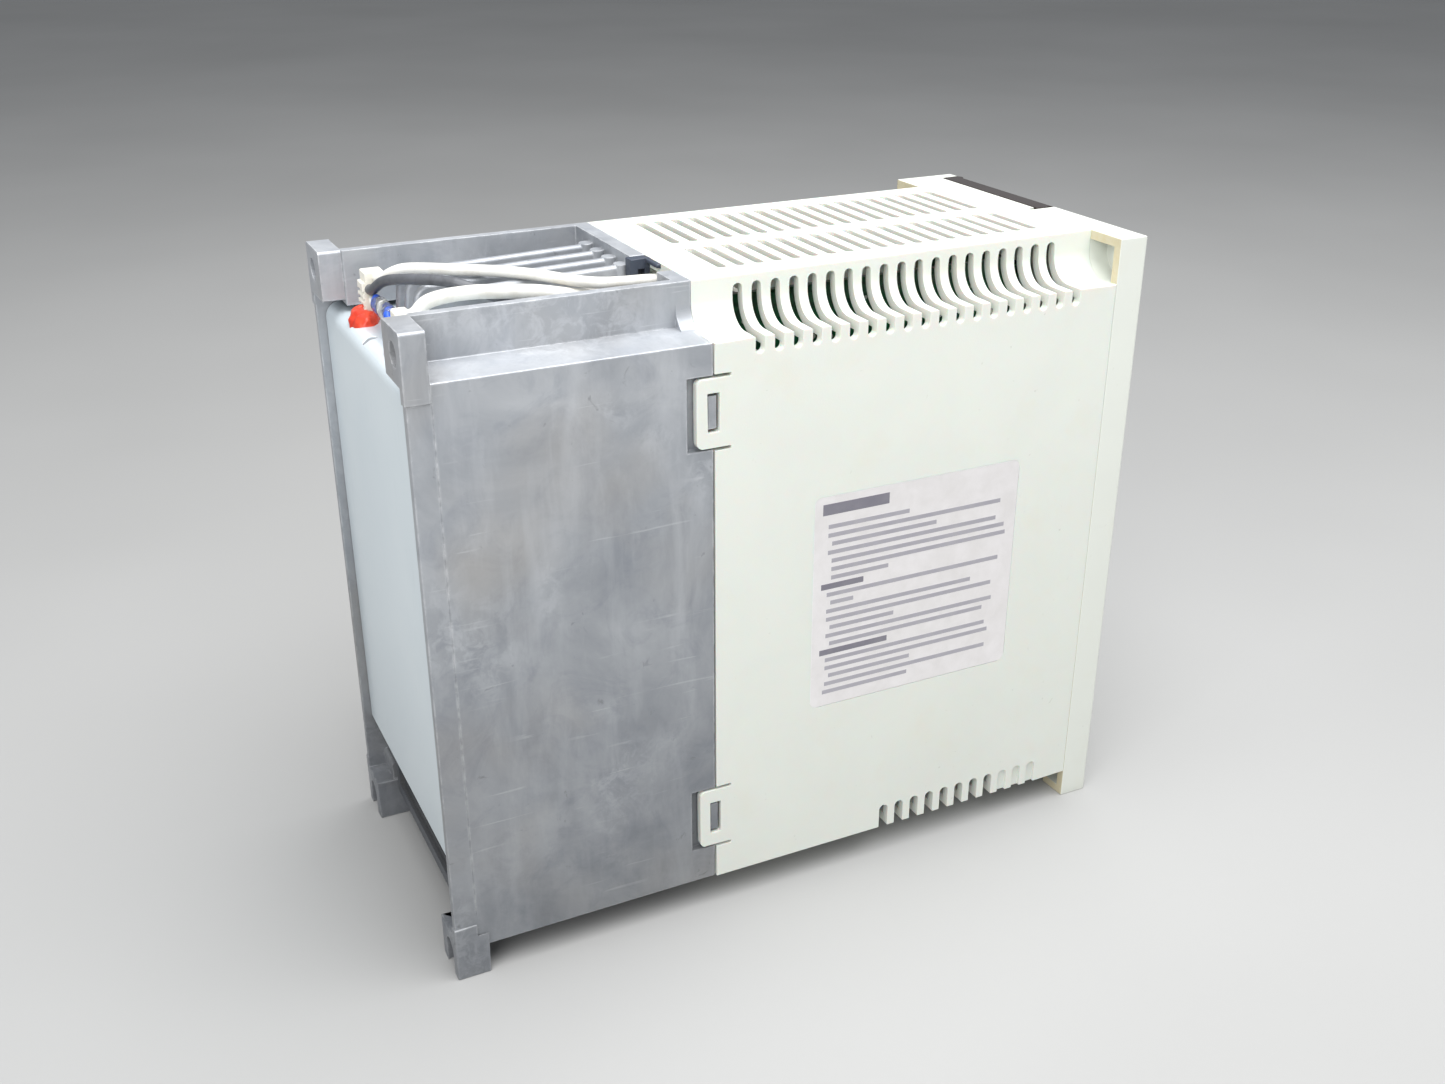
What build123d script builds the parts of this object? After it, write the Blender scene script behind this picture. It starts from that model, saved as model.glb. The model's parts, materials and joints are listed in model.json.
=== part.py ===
from build123d import *
import math
import os

# A bookshelf variable frequency drive for screwing to the back of a control cabinet, in millimetres.
# X runs across the front, Y from the front face to the mounting plane, Z up.
# The origin is below the middle of the body, on the plane of its feet.

# ---- overall sizes ----
WIDTH = 90.0
HEIGHT = 168.0
DEPTH = 195.0
SIDE = WIDTH / 2
REAR = DEPTH / 2
FRONT = -DEPTH / 2

FOOT = 8.5  # underside of the case and heat sink, above the feet
SEAM = 26.0  # plane where the plastic case meets the heat sink
GAP = 0.3  # room around moving parts

# ---- hollow corners along the two top edges ----
COVE_X = 33.0
COVE_R = 6.5
COVE_Z = 156.3

# ---- plastic case ----
CASE_WALL = 2.4
VENT_PITCH = 5.0
VENT_FIRST_Y = 14.0
VENT_COUNT = 19
CORNER_VENT = (152.2, 166.0)  # lowest and highest point of a corner vent
CORNER_VENT_WIDTH = 2.5
TOP_VENT_ROWS = ((1.2, 26.3), (-25.6, -4.7))
TOP_VENT_WIDTH = 2.5
FOOT_VENT_FIRST_Y = -26.0
FOOT_VENT_COUNT = 8
FOOT_VENT_BLIND_COUNT = 3  # nearest the front, only moulded into the surface
FOOT_VENT_TOP = 15.5
FOOT_VENT_WIDTH = 2.8
SNAP_LOW_EDGES = (131.0, 18.9)
SNAP_HEIGHT = 17.0
SNAP_END_Y = 30.3
SNAP_INNER_X = 43.0
LABEL_DEPTH = 0.2
LABEL_Y = (-62.7, -1.5)
LABEL_Z = (53.0, 112.8)
PLATE_Y = (-58.0, -6.0)
PLATE_Z = (58.0, 92.0)

# ---- heat sink ----
SINK_SIDE = 44.6  # the walls stand a little inside the mounting ears
SINK_WALL = 2.2
SINK_PLATE = 4.0
RIM_OUTER = COVE_X  # the rims carry the hollow corners' upright side on to the rear
RIM_INNER = 30.5
FLANGE_Y = 91.7  # front of the rear posts and ears
FIN_THICKNESS = 2.4
FIN_PITCH = 7.9
FIN_REAR_Y = 81.0
FIN_CORNER_R = 4.0
FIN_TOP_FRONT = 165.8
FIN_TOP_REAR = 164.3
LOW_FIN_TOP = 150.0
LEDGE_UNDER = 154.0
NOTCH_X = (-22.5, -6.0)  # opening in the plate for the leads
NOTCH_FLOOR = 156.0

# ---- mounting ----
HOLE_X = 39.0
HOLE_Z = 162.0
FOOT_HOLE_Z = 6.0
HOLE_R = 3.0
EAR_INNER_X = 31.0
FOOT_INNER_X = 32.5
FOOT_FRONT_Y = 88.9
FOOT_TOP = 17.4

# ---- braking resistor ----
CAN_X = 42.2
CAN_Y = (65.0, 95.0)
CAN_Z = (29.3, 152.5)
CAN_SHEET = 1.0
CAN_EDGE_R = 4.0
UPPER_LEAD_D = 2.8
LOWER_LEAD_D = 3.4
GREY_LEAD_D = 2.6
TALL_TERMINAL_X = 20.0
SHORT_TERMINAL_X = (-9.6, -5.2)

# ---- fan ----
FAN_Y = (30.6, 90.6)
FAN_Z = (12.0, 27.0)
FAN_CENTRE_Y = sum(FAN_Y) / 2
FAN_HALF = (FAN_Y[1] - FAN_Y[0]) / 2
DUCT_R = 28.5
HUB_R = 12.0
BLADE_COUNT = 7
TRAY_X = 40.2
TRAY_Y = (31.0, 91.6)
TRAY_Z = (8.5, 29.0)

# ---- front panel and its doors ----
PANEL_PLATE = 3.0
PANEL_RIM = 2.4
PANEL_BACK = FRONT + 8.9
PLATE_BACK = FRONT + PANEL_PLATE
SKIRT_END = -84.6
FAR_FLANGE_Y = -78.0
BARREL_R = 1.6
PIN_R = 0.82
PIN_BORE_R = 0.90
LEAF = 2.0  # thickness of the doors
BARREL_Y = FRONT + BARREL_R

DOOR_X = (-5.7, 41.0)
DOOR_Z = (119.4, HEIGHT)
DOOR_HINGE_X = DOOR_X[1] - BARREL_R
DOOR_FLANGE_Y = -91.6
DOOR_FLANGE_Z = 166.2
DOOR_FLOOR = (-94.0, -92.4)
DOOR_BARRELS = ((122.0, 130.0), (152.0, 160.0))

COVER_X = 38.0
COVER_TOP = 46.0
COVER_HINGE_Z = 8.3

KEY_NAMES = ("mode_key", "up_key", "down_key", "set_key")
KEY_X = (4.0, 13.0, 22.0, 31.0)
KEY_Z = 129.0
KEY_R = 2.7
DISPLAY_X = (2.0, 32.0)
DISPLAY_Z = (139.0, 151.0)
DISPLAY_BOARD_Y = (-88.4, -86.8)

SOCKET_X = (-30.0, -10.0, 10.0, 30.0)
SOCKET_Z = (66.3, 95.7)
SOCKET_HALF = 4.4
SOCKET_BOARD_Y = (-80.0, -78.4)
LAMP = (-34.0, 106.0)

# ---- inside the case ----
POWER_BOARD_X = (-24.0, 41.0)
POWER_BOARD_Y = (4.4, 6.0)
POWER_BOARD_Z = (16.0, 150.0)
CONTROL_BOARD_X = (-28.6, -27.0)
CONTROL_BOARD_Y = (-66.0, 18.0)
CONTROL_BOARD_Z = (16.0, 162.0)
MODULE_X = (-22.0, 38.0)
MODULE_Y = (8.0, SEAM)
MODULE_Z = (52.0, 128.0)
PLUG_X = (-16.0, -1.0)
PLUG_Y = (-7.0, POWER_BOARD_Y[0])
PLUG_Z = (134.0, 146.0)
TERMINAL_X = 37.0
TERMINAL_Y = (-86.8, -70.0)
TERMINAL_Z = (12.8, 42.8)
TERMINAL_PITCH = 10.4
TERMINAL_COUNT = 7
TERMINAL_ROWS = (20.5, 35.5)
STANDOFF_AT = [(x, z) for x in (-20.0, 37.0) for z in (21.0, 145.0)]
SOCKET_POST_AT = [(x, z) for x in (-20.0, 20.0) for z in (56.0, 108.0)]
DISPLAY_POST_AT = [(-1.0, 123.5), (36.5, 123.5)]
CONTROL_POST_AT = [(y, z) for y in (-60.0, 11.0) for z in (24.0, 147.0)]


# ---- helpers ----
def block(x, y, z):
    """A box, from its low and high limit along each axis."""
    spans = (x, y, z)
    size = [high - low for low, high in spans]
    middle = [(low + high) / 2 for low, high in spans]
    return Pos(*middle) * Box(*size)


def rod(axis, at, span, radius):
    """A cylinder along an axis. at holds its other two coordinates, span its two ends."""
    low, high = span
    middle = (low + high) / 2
    cylinder = Cylinder(radius, high - low)
    if axis == "x":
        return Pos(middle, at[0], at[1]) * Rot(0, 90, 0) * cylinder
    if axis == "y":
        return Pos(at[0], middle, at[1]) * Rot(90, 0, 0) * cylinder
    return Pos(at[0], at[1], middle) * cylinder


def along_x(outline, low, high):
    """Extrudes an outline drawn in Y and Z from x = low to x = high."""
    return Pos(low, 0, 0) * extrude(Plane.YZ * outline, high - low)


def along_y(outline, low, high):
    """Extrudes an outline drawn in X and Z from y = low to y = high."""
    return Pos(0, high, 0) * extrude(Plane.XZ * outline, high - low)


def polygon(*points):
    return make_face(Polyline(*points, close=True))


def spread(span, amount):
    """The span made longer by amount at each end."""
    return (span[0] - amount, span[1] + amount)


def both_sides(shape):
    """The shape and its mirror image on the other side of the drive."""
    return shape + mirror(shape, Plane.YZ)


def group(shapes):
    """Several separate solids kept together in one node."""
    return Compound(children=[solid for shape in shapes for solid in shape.solids()])


def case_outline(inset, side=SIDE):
    """The X-Z outline of the case, moved inwards by inset: a box with a hollow along each top edge."""
    bottom = FOOT + inset
    ledge = COVE_Z - inset
    shoulder = COVE_X - inset
    centre_x = COVE_X + COVE_R
    centre_z = COVE_Z + COVE_R
    slant = (COVE_R + inset) * math.sqrt(0.5)
    lower = Polyline((0, bottom), (side - inset, bottom), (side - inset, ledge), (centre_x, ledge))
    hollow = ThreePointArc((centre_x, ledge), (centre_x - slant, centre_z - slant), (shoulder, centre_z))
    upper = Polyline((shoulder, centre_z), (shoulder, HEIGHT - inset), (0, HEIGHT - inset), (0, bottom))
    return both_sides(make_face(lower + hollow + upper))


# ---- plastic case ----
def corner_vents():
    low, high = CORNER_VENT
    slot = SlotOverall(high - low, CORNER_VENT_WIDTH, rotation=90)
    places = [Pos(VENT_FIRST_Y - VENT_PITCH * i, (low + high) / 2) for i in range(VENT_COUNT)]
    return both_sides(along_x(Sketch() + [place * slot for place in places], COVE_X - 5, SIDE + 1))


def top_vents():
    slots = Sketch()
    for low, high in TOP_VENT_ROWS:
        slot = SlotOverall(high - low, TOP_VENT_WIDTH)
        slots += [Pos((low + high) / 2, VENT_FIRST_Y - VENT_PITCH * i) * slot for i in range(VENT_COUNT)]
    return Pos(0, 0, HEIGHT - CASE_WALL - 1) * extrude(slots, CASE_WALL + 2)


def foot_vents():
    """Slots that wrap from the side walls into the floor, and the blind ones in front of them."""
    slot = SlotOverall(2 * (FOOT_VENT_TOP - FOOT), FOOT_VENT_WIDTH, rotation=90)
    count = FOOT_VENT_COUNT + FOOT_VENT_BLIND_COUNT
    slots = [Pos(FOOT_VENT_FIRST_Y - VENT_PITCH * i, FOOT) * slot for i in range(count)]
    vents = along_x(Sketch() + slots[:FOOT_VENT_COUNT], SIDE - 8, SIDE + 1)
    vents += along_x(Sketch() + slots[FOOT_VENT_COUNT:], SIDE - 0.8, SIDE + 1)
    return both_sides(vents)


def snap_tab(low_z):
    """One flexible catch on the right side: the tab, and the slits and window that are cut in it."""
    high_z = low_z + SNAP_HEIGHT
    middle_z = (low_z + high_z) / 2
    tab = RectangleRounded(SNAP_END_Y - SEAM + 6, SNAP_HEIGHT, 1.6)
    tab = along_x(Pos((SNAP_END_Y + SEAM - 6) / 2, middle_z) * tab, SNAP_INNER_X, SIDE)
    slits = block((SIDE - 4, SIDE + 1), (SEAM - 4.6, SEAM + 1), (high_z, high_z + 0.9))
    slits += block((SIDE - 4, SIDE + 1), (SEAM - 4.6, SEAM + 1), (low_z - 0.9, low_z))
    window = block((SIDE - 4, SIDE + 1), (SEAM - 1.6, SEAM + 1.5), (middle_z - 4.8, middle_z + 4.8))
    return tab, slits + window


def label_recess(y, z, x_outer, x_inner):
    outline = Pos(sum(y) / 2, sum(z) / 2) * RectangleRounded(y[1] - y[0], z[1] - z[0], 2.0)
    return along_x(outline, min(x_outer, x_inner), max(x_outer, x_inner))


def case_shell():
    shell = along_y(case_outline(0) - case_outline(CASE_WALL), PANEL_BACK, SEAM)
    shell -= both_sides(block((SIDE - 1.2, SIDE + 1), (SEAM - 0.4, SEAM + 1), (FOOT - 1, COVE_Z + 1)))
    for low_z in SNAP_LOW_EDGES:
        tab, cuts = snap_tab(low_z)
        shell = shell + both_sides(tab) - both_sides(cuts)
    shell -= corner_vents() + top_vents() + foot_vents()
    shell -= label_recess(LABEL_Y, LABEL_Z, -SIDE - 1, -SIDE + LABEL_DEPTH)
    shell -= label_recess(PLATE_Y, PLATE_Z, SIDE + 1, SIDE - LABEL_DEPTH)
    return shell


def side_label():
    return label_recess(LABEL_Y, LABEL_Z, -SIDE, -SIDE + LABEL_DEPTH)


def rating_plate():
    return label_recess(PLATE_Y, PLATE_Z, SIDE, SIDE - LABEL_DEPTH)


# ---- heat sink ----
def sink_walls():
    """Side walls, sloping ledges and the two upright rims, as one section run from front to back."""
    section = polygon(
        (SINK_SIDE, FOOT),
        (SINK_SIDE, COVE_Z),
        (RIM_OUTER, COVE_Z + 1.1),
        (RIM_OUTER, HEIGHT),
        (RIM_INNER, HEIGHT),
        (RIM_INNER, LEDGE_UNDER),
        (SINK_SIDE - SINK_WALL, LEDGE_UNDER),
        (SINK_SIDE - SINK_WALL, FOOT),
    )
    walls = along_y(section, SEAM + 1, FLANGE_Y)
    post = block((SINK_SIDE - SINK_WALL, SINK_SIDE), (FLANGE_Y - 1, REAR - 0.3), (11.0, COVE_Z))
    line = block((SINK_SIDE - 0.12, SINK_SIDE + 1), (FLANGE_Y - 0.3, FLANGE_Y), (18.0, 152.0))
    pads = block((40.4, SINK_SIDE - 1), (SEAM + 1, 36.0), (127.0, 151.0))
    pads += block((40.4, SINK_SIDE - 1), (SEAM + 1, 36.0), (15.0, 39.0))
    return both_sides(walls + post + pads - line)


def snap_recesses():
    """Hollows in the walls that the case tabs lie in."""
    cuts = Part()
    for low_z in SNAP_LOW_EDGES:
        height = (low_z - 0.6, low_z + SNAP_HEIGHT + 0.6)
        cuts += block((SNAP_INNER_X - 0.4, SIDE + 1), (SEAM - 1, SNAP_END_Y + 2.3), height)
    return both_sides(cuts)


def snap_catches():
    """The bars that hold the case tabs by their windows."""
    bars = Part()
    for low_z in SNAP_LOW_EDGES:
        bars += block((SNAP_INNER_X - 1, SIDE - 0.6), (SEAM - 1.1, SEAM + 1.2), (low_z + 4.4, low_z + 12.6))
    return both_sides(bars)


def tall_fin(x):
    """A fin that reaches over the resistor, with the round pad of an ejector pin at its front end."""
    outline = polygon(
        (SEAM + 2, 30.0),
        (SEAM + 2, FIN_TOP_FRONT),
        (FIN_REAR_Y, FIN_TOP_REAR),
        (FIN_REAR_Y + 1.0, 154.5),
        (CAN_Y[0], 154.5),
        (CAN_Y[0], 30.0),
    )
    fin = along_x(outline, x - FIN_THICKNESS / 2, x + FIN_THICKNESS / 2)
    rear_top = fin.edges().filter_by(Axis.X).group_by(Axis.Z)[-2]
    fin = fillet(rear_top, FIN_CORNER_R)
    top_edges = fin.edges().filter_by(Axis.X, reverse=True).group_by(Axis.Z)[-1]
    fin = fillet(top_edges, 0.9)
    return fin + rod("z", (x, 31.4), (120.0, FIN_TOP_FRONT + 0.2), 1.9)


def low_fin(x, top):
    half = FIN_THICKNESS / 2
    return block((x - half, x + half), (SEAM + 2, CAN_Y[0]), (30.0, top))


def sink_fins():
    """Four tall fins, two low ones under the leads, and two more on each side below the ledges."""
    fins = Part()
    for step in (-0.5, 0.5, 1.5, 2.5):
        fins += tall_fin(step * FIN_PITCH)
    for step in (-2.5, -1.5):
        fins += low_fin(step * FIN_PITCH, LOW_FIN_TOP)
    for step in (3.5, 4.5):
        fins += both_sides(low_fin(step * FIN_PITCH, LEDGE_UNDER + 0.5))
    return fins


def top_ear():
    ear = block((EAR_INNER_X, SIDE), (FLANGE_Y, REAR), (155.5, HEIGHT))
    ear += block((SINK_SIDE - SINK_WALL, SIDE), (FLANGE_Y, REAR), (152.0, 155.6))
    ear = fillet(ear.edges().filter_by(Axis.Y).group_by(Axis.Z)[-1], 0.8)
    return ear - rod("y", (HOLE_X, HOLE_Z), (FLANGE_Y - 1, REAR + 1), HOLE_R)


def bottom_ear():
    ear = block((FOOT_INNER_X, SIDE), (FOOT_FRONT_Y, REAR), (0.0, 12.0))
    ear += block((SINK_SIDE - SINK_WALL, SIDE), (FLANGE_Y, REAR), (11.5, 15.3))
    pad_y = (FOOT_FRONT_Y + 0.1, FLANGE_Y + 0.9)
    pad = block((FOOT_INNER_X + 0.5, SINK_SIDE - 1), pad_y, (10.5, FOOT_TOP))
    ear += fillet(pad.edges().filter_by(Axis.X).group_by(Axis.Z)[-1], 1.2)
    ear -= rod("y", (HOLE_X, FOOT_HOLE_Z), (FOOT_FRONT_Y - 1, REAR + 1), HOLE_R)
    notch_x = (HOLE_X - HOLE_R, HOLE_X + HOLE_R)
    return ear - block(notch_x, (FOOT_FRONT_Y - 1, REAR + 1), (-1.0, FOOT_HOLE_Z))


def heat_sink():
    plate = along_y(case_outline(0, SINK_SIDE), SEAM, SEAM + SINK_PLATE)
    sink = plate + sink_walls() - snap_recesses() + snap_catches() + sink_fins()
    sink += both_sides(top_ear()) + both_sides(bottom_ear())
    sink -= block(NOTCH_X, (SEAM - 1, SEAM + SINK_PLATE + 1), (NOTCH_FLOOR, HEIGHT + 1))
    for x, z in STANDOFF_AT:
        sink -= rod("y", (x, z), (SEAM - 1, SEAM + 3), 1.45)
    for x, z in module_screw_places():
        sink -= rod("y", (x, z), (SEAM - 1, SEAM + 3.6), 1.95)
    return sink


# ---- braking resistor between the rear posts ----
def can_envelope(inset, front):
    """The resistor can's outer shape, moved inwards by inset, starting at y = front."""
    low, high = CAN_Z
    body = block((-CAN_X + inset, CAN_X - inset), (front, CAN_Y[1] - inset), (low + inset, high - inset))
    rear_top = body.edges().filter_by(Axis.X).group_by(Axis.Z)[-1].sort_by(Axis.Y)[-1]
    return fillet(rear_top, CAN_EDGE_R - inset)


def resistor_can():
    can = can_envelope(0, CAN_Y[0]) - can_envelope(CAN_SHEET, CAN_Y[0] - 1)
    slot = SlotOverall(3.8, 1.8, rotation=90)
    return can - Pos(6.0, CAN_Y[1] - 2.9, CAN_Z[1]) * extrude(slot, CAN_EDGE_R + 0.2, both=True)


def resistor_core():
    return can_envelope(CAN_SHEET + 0.1, CAN_Y[0] + 0.2)


def ceramic_terminals():
    """The tall terminal with its cap on a ribbed stem, and the short one on the left."""
    top = CAN_Z[1]
    inner = TALL_TERMINAL_X
    tall = block((inner, inner + 5), (87.3, 89.8), (top, 162.0))
    tall += block((inner, inner + 6), (83.8, 88.8), (161.3, 164.3))
    for level in (155.6, 157.4, 159.2):
        tall -= block((inner - 1, inner + 6), (89.3, 90.8), (level, level + 0.8))
    short = block(SHORT_TERMINAL_X, (85.6, 89.4), (top, 162.4))
    return group([tall, fillet(short.edges().group_by(Axis.Z)[-1], 0.8)])


def silicone_sealant():
    """Lumps of sealant round the feet of the terminals, following the can's rounded edge."""
    lumps = Part()
    places = ((22.2, 89.4, 155.6, 4.4), (17.4, 90.3, 154.6, 3.3), (-7.4, 89.2, 154.8, 3.7))
    for x, y, top, radius in places:
        lump = rod("z", (x, y), (149.5, top), radius)
        lumps += fillet(lump.edges().group_by(Axis.Z)[-1], 1.6)
    return group([lumps - can_envelope(0, CAN_Y[0]) - ceramic_terminals()])


def thermal_fuse():
    """A cut-out in its sleeve, wired from one terminal to the other."""
    at = (87.5, 158.2)
    sleeve = (1.6, 14.4)
    wire = (SHORT_TERMINAL_X[1], TALL_TERMINAL_X)
    return fillet(rod("x", at, sleeve, 2.4).edges(), 0.8) + rod("x", at, wire, 0.6)


# Routes of the three leads, from the terminals over the fins, through the grommet and down to their plug.
UPPER_LEAD_ROUTE = [
    (20.0, 85.7, 162.9),
    (18.6, 85.7, 162.9),
    (16.9, 84.8, 163.7),
    (14.9, 83.2, 165.3),
    (13.3, 80.9, 166.3),
    (11.0, 77.4, 166.5),
    (8.4, 73.2, 166.5),
    (5.3, 69.2, 166.5),
    (2.7, 65.0, 166.5),
    (-0.1, 60.9, 166.5),
    (-4.2, 57.3, 166.6),
    (-7.8, 53.3, 166.4),
    (-10.8, 49.6, 165.9),
    (-13.6, 45.7, 165.4),
    (-15.6, 41.4, 165.0),
    (-16.0, 36.0, 164.7),
    (-14.6, 28.0, 164.1),
    (-13.6, 20.0, 163.0),
    (-11.5, 11.4, 160.8),
    (-9.2, 3.6, 157.0),
    (-8.5, -1.6, 151.8),
    (-8.5, -1.6, 146.0),
]
LOWER_LEAD_ROUTE = [
    (-7.4, 85.6, 160.4),
    (-7.4, 84.2, 160.4),
    (-7.8, 81.9, 163.4),
    (-9.0, 78.0, 164.6),
    (-10.8, 73.9, 165.3),
    (-12.0, 69.7, 165.5),
    (-12.2, 65.0, 165.0),
    (-12.2, 60.1, 164.5),
    (-12.8, 55.5, 164.0),
    (-13.1, 50.7, 162.9),
    (-12.9, 44.6, 161.6),
    (-12.3, 36.5, 161.2),
    (-11.6, 28.0, 161.2),
    (-10.0, 20.0, 161.0),
    (-7.0, 11.4, 159.6),
    (-4.6, 3.6, 156.4),
    (-4.0, -1.6, 151.6),
    (-4.0, -1.6, 146.0),
]
GREY_LEAD_ROUTE = [
    (20.0, 87.9, 160.4),
    (18.6, 87.9, 160.4),
    (16.9, 87.4, 161.4),
    (14.6, 86.3, 163.3),
    (11.1, 84.9, 164.6),
    (6.7, 82.7, 165.5),
    (1.9, 79.9, 166.2),
    (-1.6, 76.3, 166.5),
    (-5.9, 72.3, 166.2),
    (-7.9, 68.0, 164.0),
    (-8.2, 62.0, 161.6),
    (-9.0, 55.5, 159.4),
    (-10.8, 48.5, 158.0),
    (-13.6, 41.5, 158.2),
    (-16.2, 34.8, 160.1),
    (-16.8, 28.4, 161.2),
    (-16.4, 20.6, 160.8),
    (-15.2, 12.0, 159.4),
    (-13.6, 4.0, 156.4),
    (-13.0, -1.6, 151.6),
    (-13.0, -1.6, 146.0),
]


def corner_radii(route):
    """For each inner point, the largest arc that its two runs leave room for."""
    points = [Vector(*point) for point in route]
    radii = []
    for before, here, after in zip(points, points[1:], points[2:]):
        turn = (here - before).get_angle(after - here)
        shorter = min((here - before).length, (after - here).length)
        radii.append(0.45 * shorter / math.tan(math.radians(turn) / 2))
    return radii


def lead(name, route, diameter):
    radii = corner_radii(route)
    path = FilletPolyline(*route, radius=radii)
    section = Plane(origin=path @ 0, z_dir=path % 0) * Circle(diameter / 2)
    tube = sweep(section, path=path)
    expected = math.pi * (diameter / 2) ** 2 * path.length
    print(name, "length", round(path.length, 1), "volume ratio", round(tube.volume / expected, 4))
    print("  radii", [round(radius, 1) for radius in radii])
    return tube


def cable_clip():
    """The clip in the notch of the heat sink's plate: a sill, a tall jamb, a low one and a keeper bar."""
    low_x, high_x = NOTCH_X[0] + 0.1, NOTCH_X[1] - 0.1
    front, rear = SEAM + 0.05, SEAM + SINK_PLATE + 1.2
    jamb_x = high_x - 3.3
    clip = block((low_x, high_x), (front, SEAM + SINK_PLATE), (NOTCH_FLOOR + 0.1, NOTCH_FLOOR + 3.2))
    clip += block((low_x, high_x), (SEAM + SINK_PLATE, rear), (NOTCH_FLOOR - 1, NOTCH_FLOOR + 3.2))
    clip += block((low_x, low_x + 1.5), (front, rear), (NOTCH_FLOOR + 0.1, HEIGHT - 3))
    jamb = block((jamb_x, high_x), (front, rear), (NOTCH_FLOOR + 0.1, HEIGHT))
    pocket_y = (front + 1.3, SEAM + SINK_PLATE - 0.8)
    jamb -= block((jamb_x - 1, high_x - 1.2), pocket_y, (HEIGHT - 7, HEIGHT - 2.5))
    clip += jamb
    return clip + block((jamb_x - 6.6, jamb_x + 1), (front, front + 1.1), (HEIGHT - 1.1, HEIGHT - 0.1))


def lead_plug():
    return fillet(block(PLUG_X, PLUG_Y, PLUG_Z).edges().filter_by(Axis.Y), 0.8)


# ---- fan and its tray under the resistor ----
def fan_corner_places():
    return [(x, FAN_CENTRE_Y + y) for x in (-25.0, 25.0) for y in (-25.0, 25.0)]


def fan_tray():
    """Cheeks beside the fan, with a plate above and below it that has the duct's round hole."""
    tray = block((-TRAY_X, TRAY_X), TRAY_Y, TRAY_Z)
    tray -= block((-FAN_HALF - GAP, FAN_HALF + GAP), spread(TRAY_Y, 1), (FAN_Z[0], FAN_Z[1] + 0.2))
    tray -= rod("z", (0, FAN_CENTRE_Y), (0.0, 40.0), DUCT_R)
    pockets = Part()
    for y in (40.0, FAN_CENTRE_Y, 80.8):
        pockets += block((33.0, 38.0), (y - 6.6, y + 6.6), (7.0, 26.0))
    feet_y = (FOOT_FRONT_Y - GAP, TRAY_Y[1] + 1)
    feet = block((FOOT_INNER_X - GAP, TRAY_X + 1), feet_y, (7.0, FOOT_TOP + GAP))
    tray -= both_sides(pockets + feet)
    for place in fan_corner_places():
        tray -= rod("z", place, (0.0, FAN_Z[0] + 1), 2.1)
    return tray


def fan_frame():
    low, high = FAN_Z
    frame = block((-FAN_HALF, FAN_HALF), FAN_Y, FAN_Z)
    frame = fillet(frame.edges().filter_by(Axis.Z), 2.5)
    frame -= rod("z", (0, FAN_CENTRE_Y), (low - 1, high + 1), DUCT_R)
    waist = block((-FAN_HALF - 1, FAN_HALF + 1), (FAN_Y[0] - 1, FAN_Y[1] + 1), (low + 3, high - 3))
    waist -= rod("z", (0, FAN_CENTRE_Y), (low, high), DUCT_R + 1.4)
    for x, y in fan_corner_places():
        waist -= rod("z", (x, y), (low, high), 3.6)
    frame -= waist
    frame += rod("z", (0, FAN_CENTRE_Y), (low, low + 2), HUB_R)
    for turn in (45, 135, 225, 315):
        strut = block((HUB_R - 1, DUCT_R + 1), (-1.5, 1.5), (low, low + 2))
        frame += Pos(0, FAN_CENTRE_Y, 0) * Rot(0, 0, turn) * strut
    frame -= rod("z", (0, FAN_CENTRE_Y), (low - 1, low + 3), 1.55)
    for place in fan_corner_places():
        frame -= rod("z", place, (low - 1, high + 1), 2.1)
    return frame


def fan_rotor():
    low = FAN_Z[0] + 2 + GAP
    high = FAN_Z[1] - 0.5
    hub = rod("z", (0, 0), (low, high), HUB_R)
    hub = fillet(hub.edges().group_by(Axis.Z)[-1], 1.2)
    blades = Part()
    for i in range(BLADE_COUNT):
        blade = Pos((HUB_R + DUCT_R) / 2 - 0.8, 0, (low + high) / 2) * Rot(40, 0, 0) * Box(17.4, 14.5, 1.3)
        blades += Rot(0, 0, i * 360 / BLADE_COUNT) * blade
    blades &= rod("z", (0, 0), (low + 0.3, high), DUCT_R - 0.6)
    shaft = rod("z", (0, 0), (FAN_Z[0] + 0.2, low + 1), 1.5)
    return Pos(0, FAN_CENTRE_Y, 0) * (hub + blades + shaft)


def fan_guard():
    """A stamped finger guard: rings on two crossed bars, held in the tray's lower hole."""
    low, high = TRAY_Z[0] + 0.4, TRAY_Z[0] + 1.6
    guard = Part()
    for radius in (8.0, 14.5, 21.0, 27.3):
        guard += rod("z", (0, 0), (low, high), radius + 1.2) - rod("z", (0, 0), (low, high), radius)
    for turn in (0, 90):
        guard += Rot(0, 0, turn) * block((-DUCT_R + 0.1, DUCT_R - 0.1), (-0.8, 0.8), (low, high))
    return Pos(0, FAN_CENTRE_Y, 0) * guard


def fan_screws():
    screws = []
    for place in fan_corner_places():
        head = fillet(rod("z", place, (TRAY_Z[0] - 1.6, TRAY_Z[0]), 3.4).edges().group_by(Axis.Z)[0], 0.7)
        screws.append(head + rod("z", place, (TRAY_Z[0] - 0.5, 22.0), 2.0))
    return group(screws)


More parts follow.
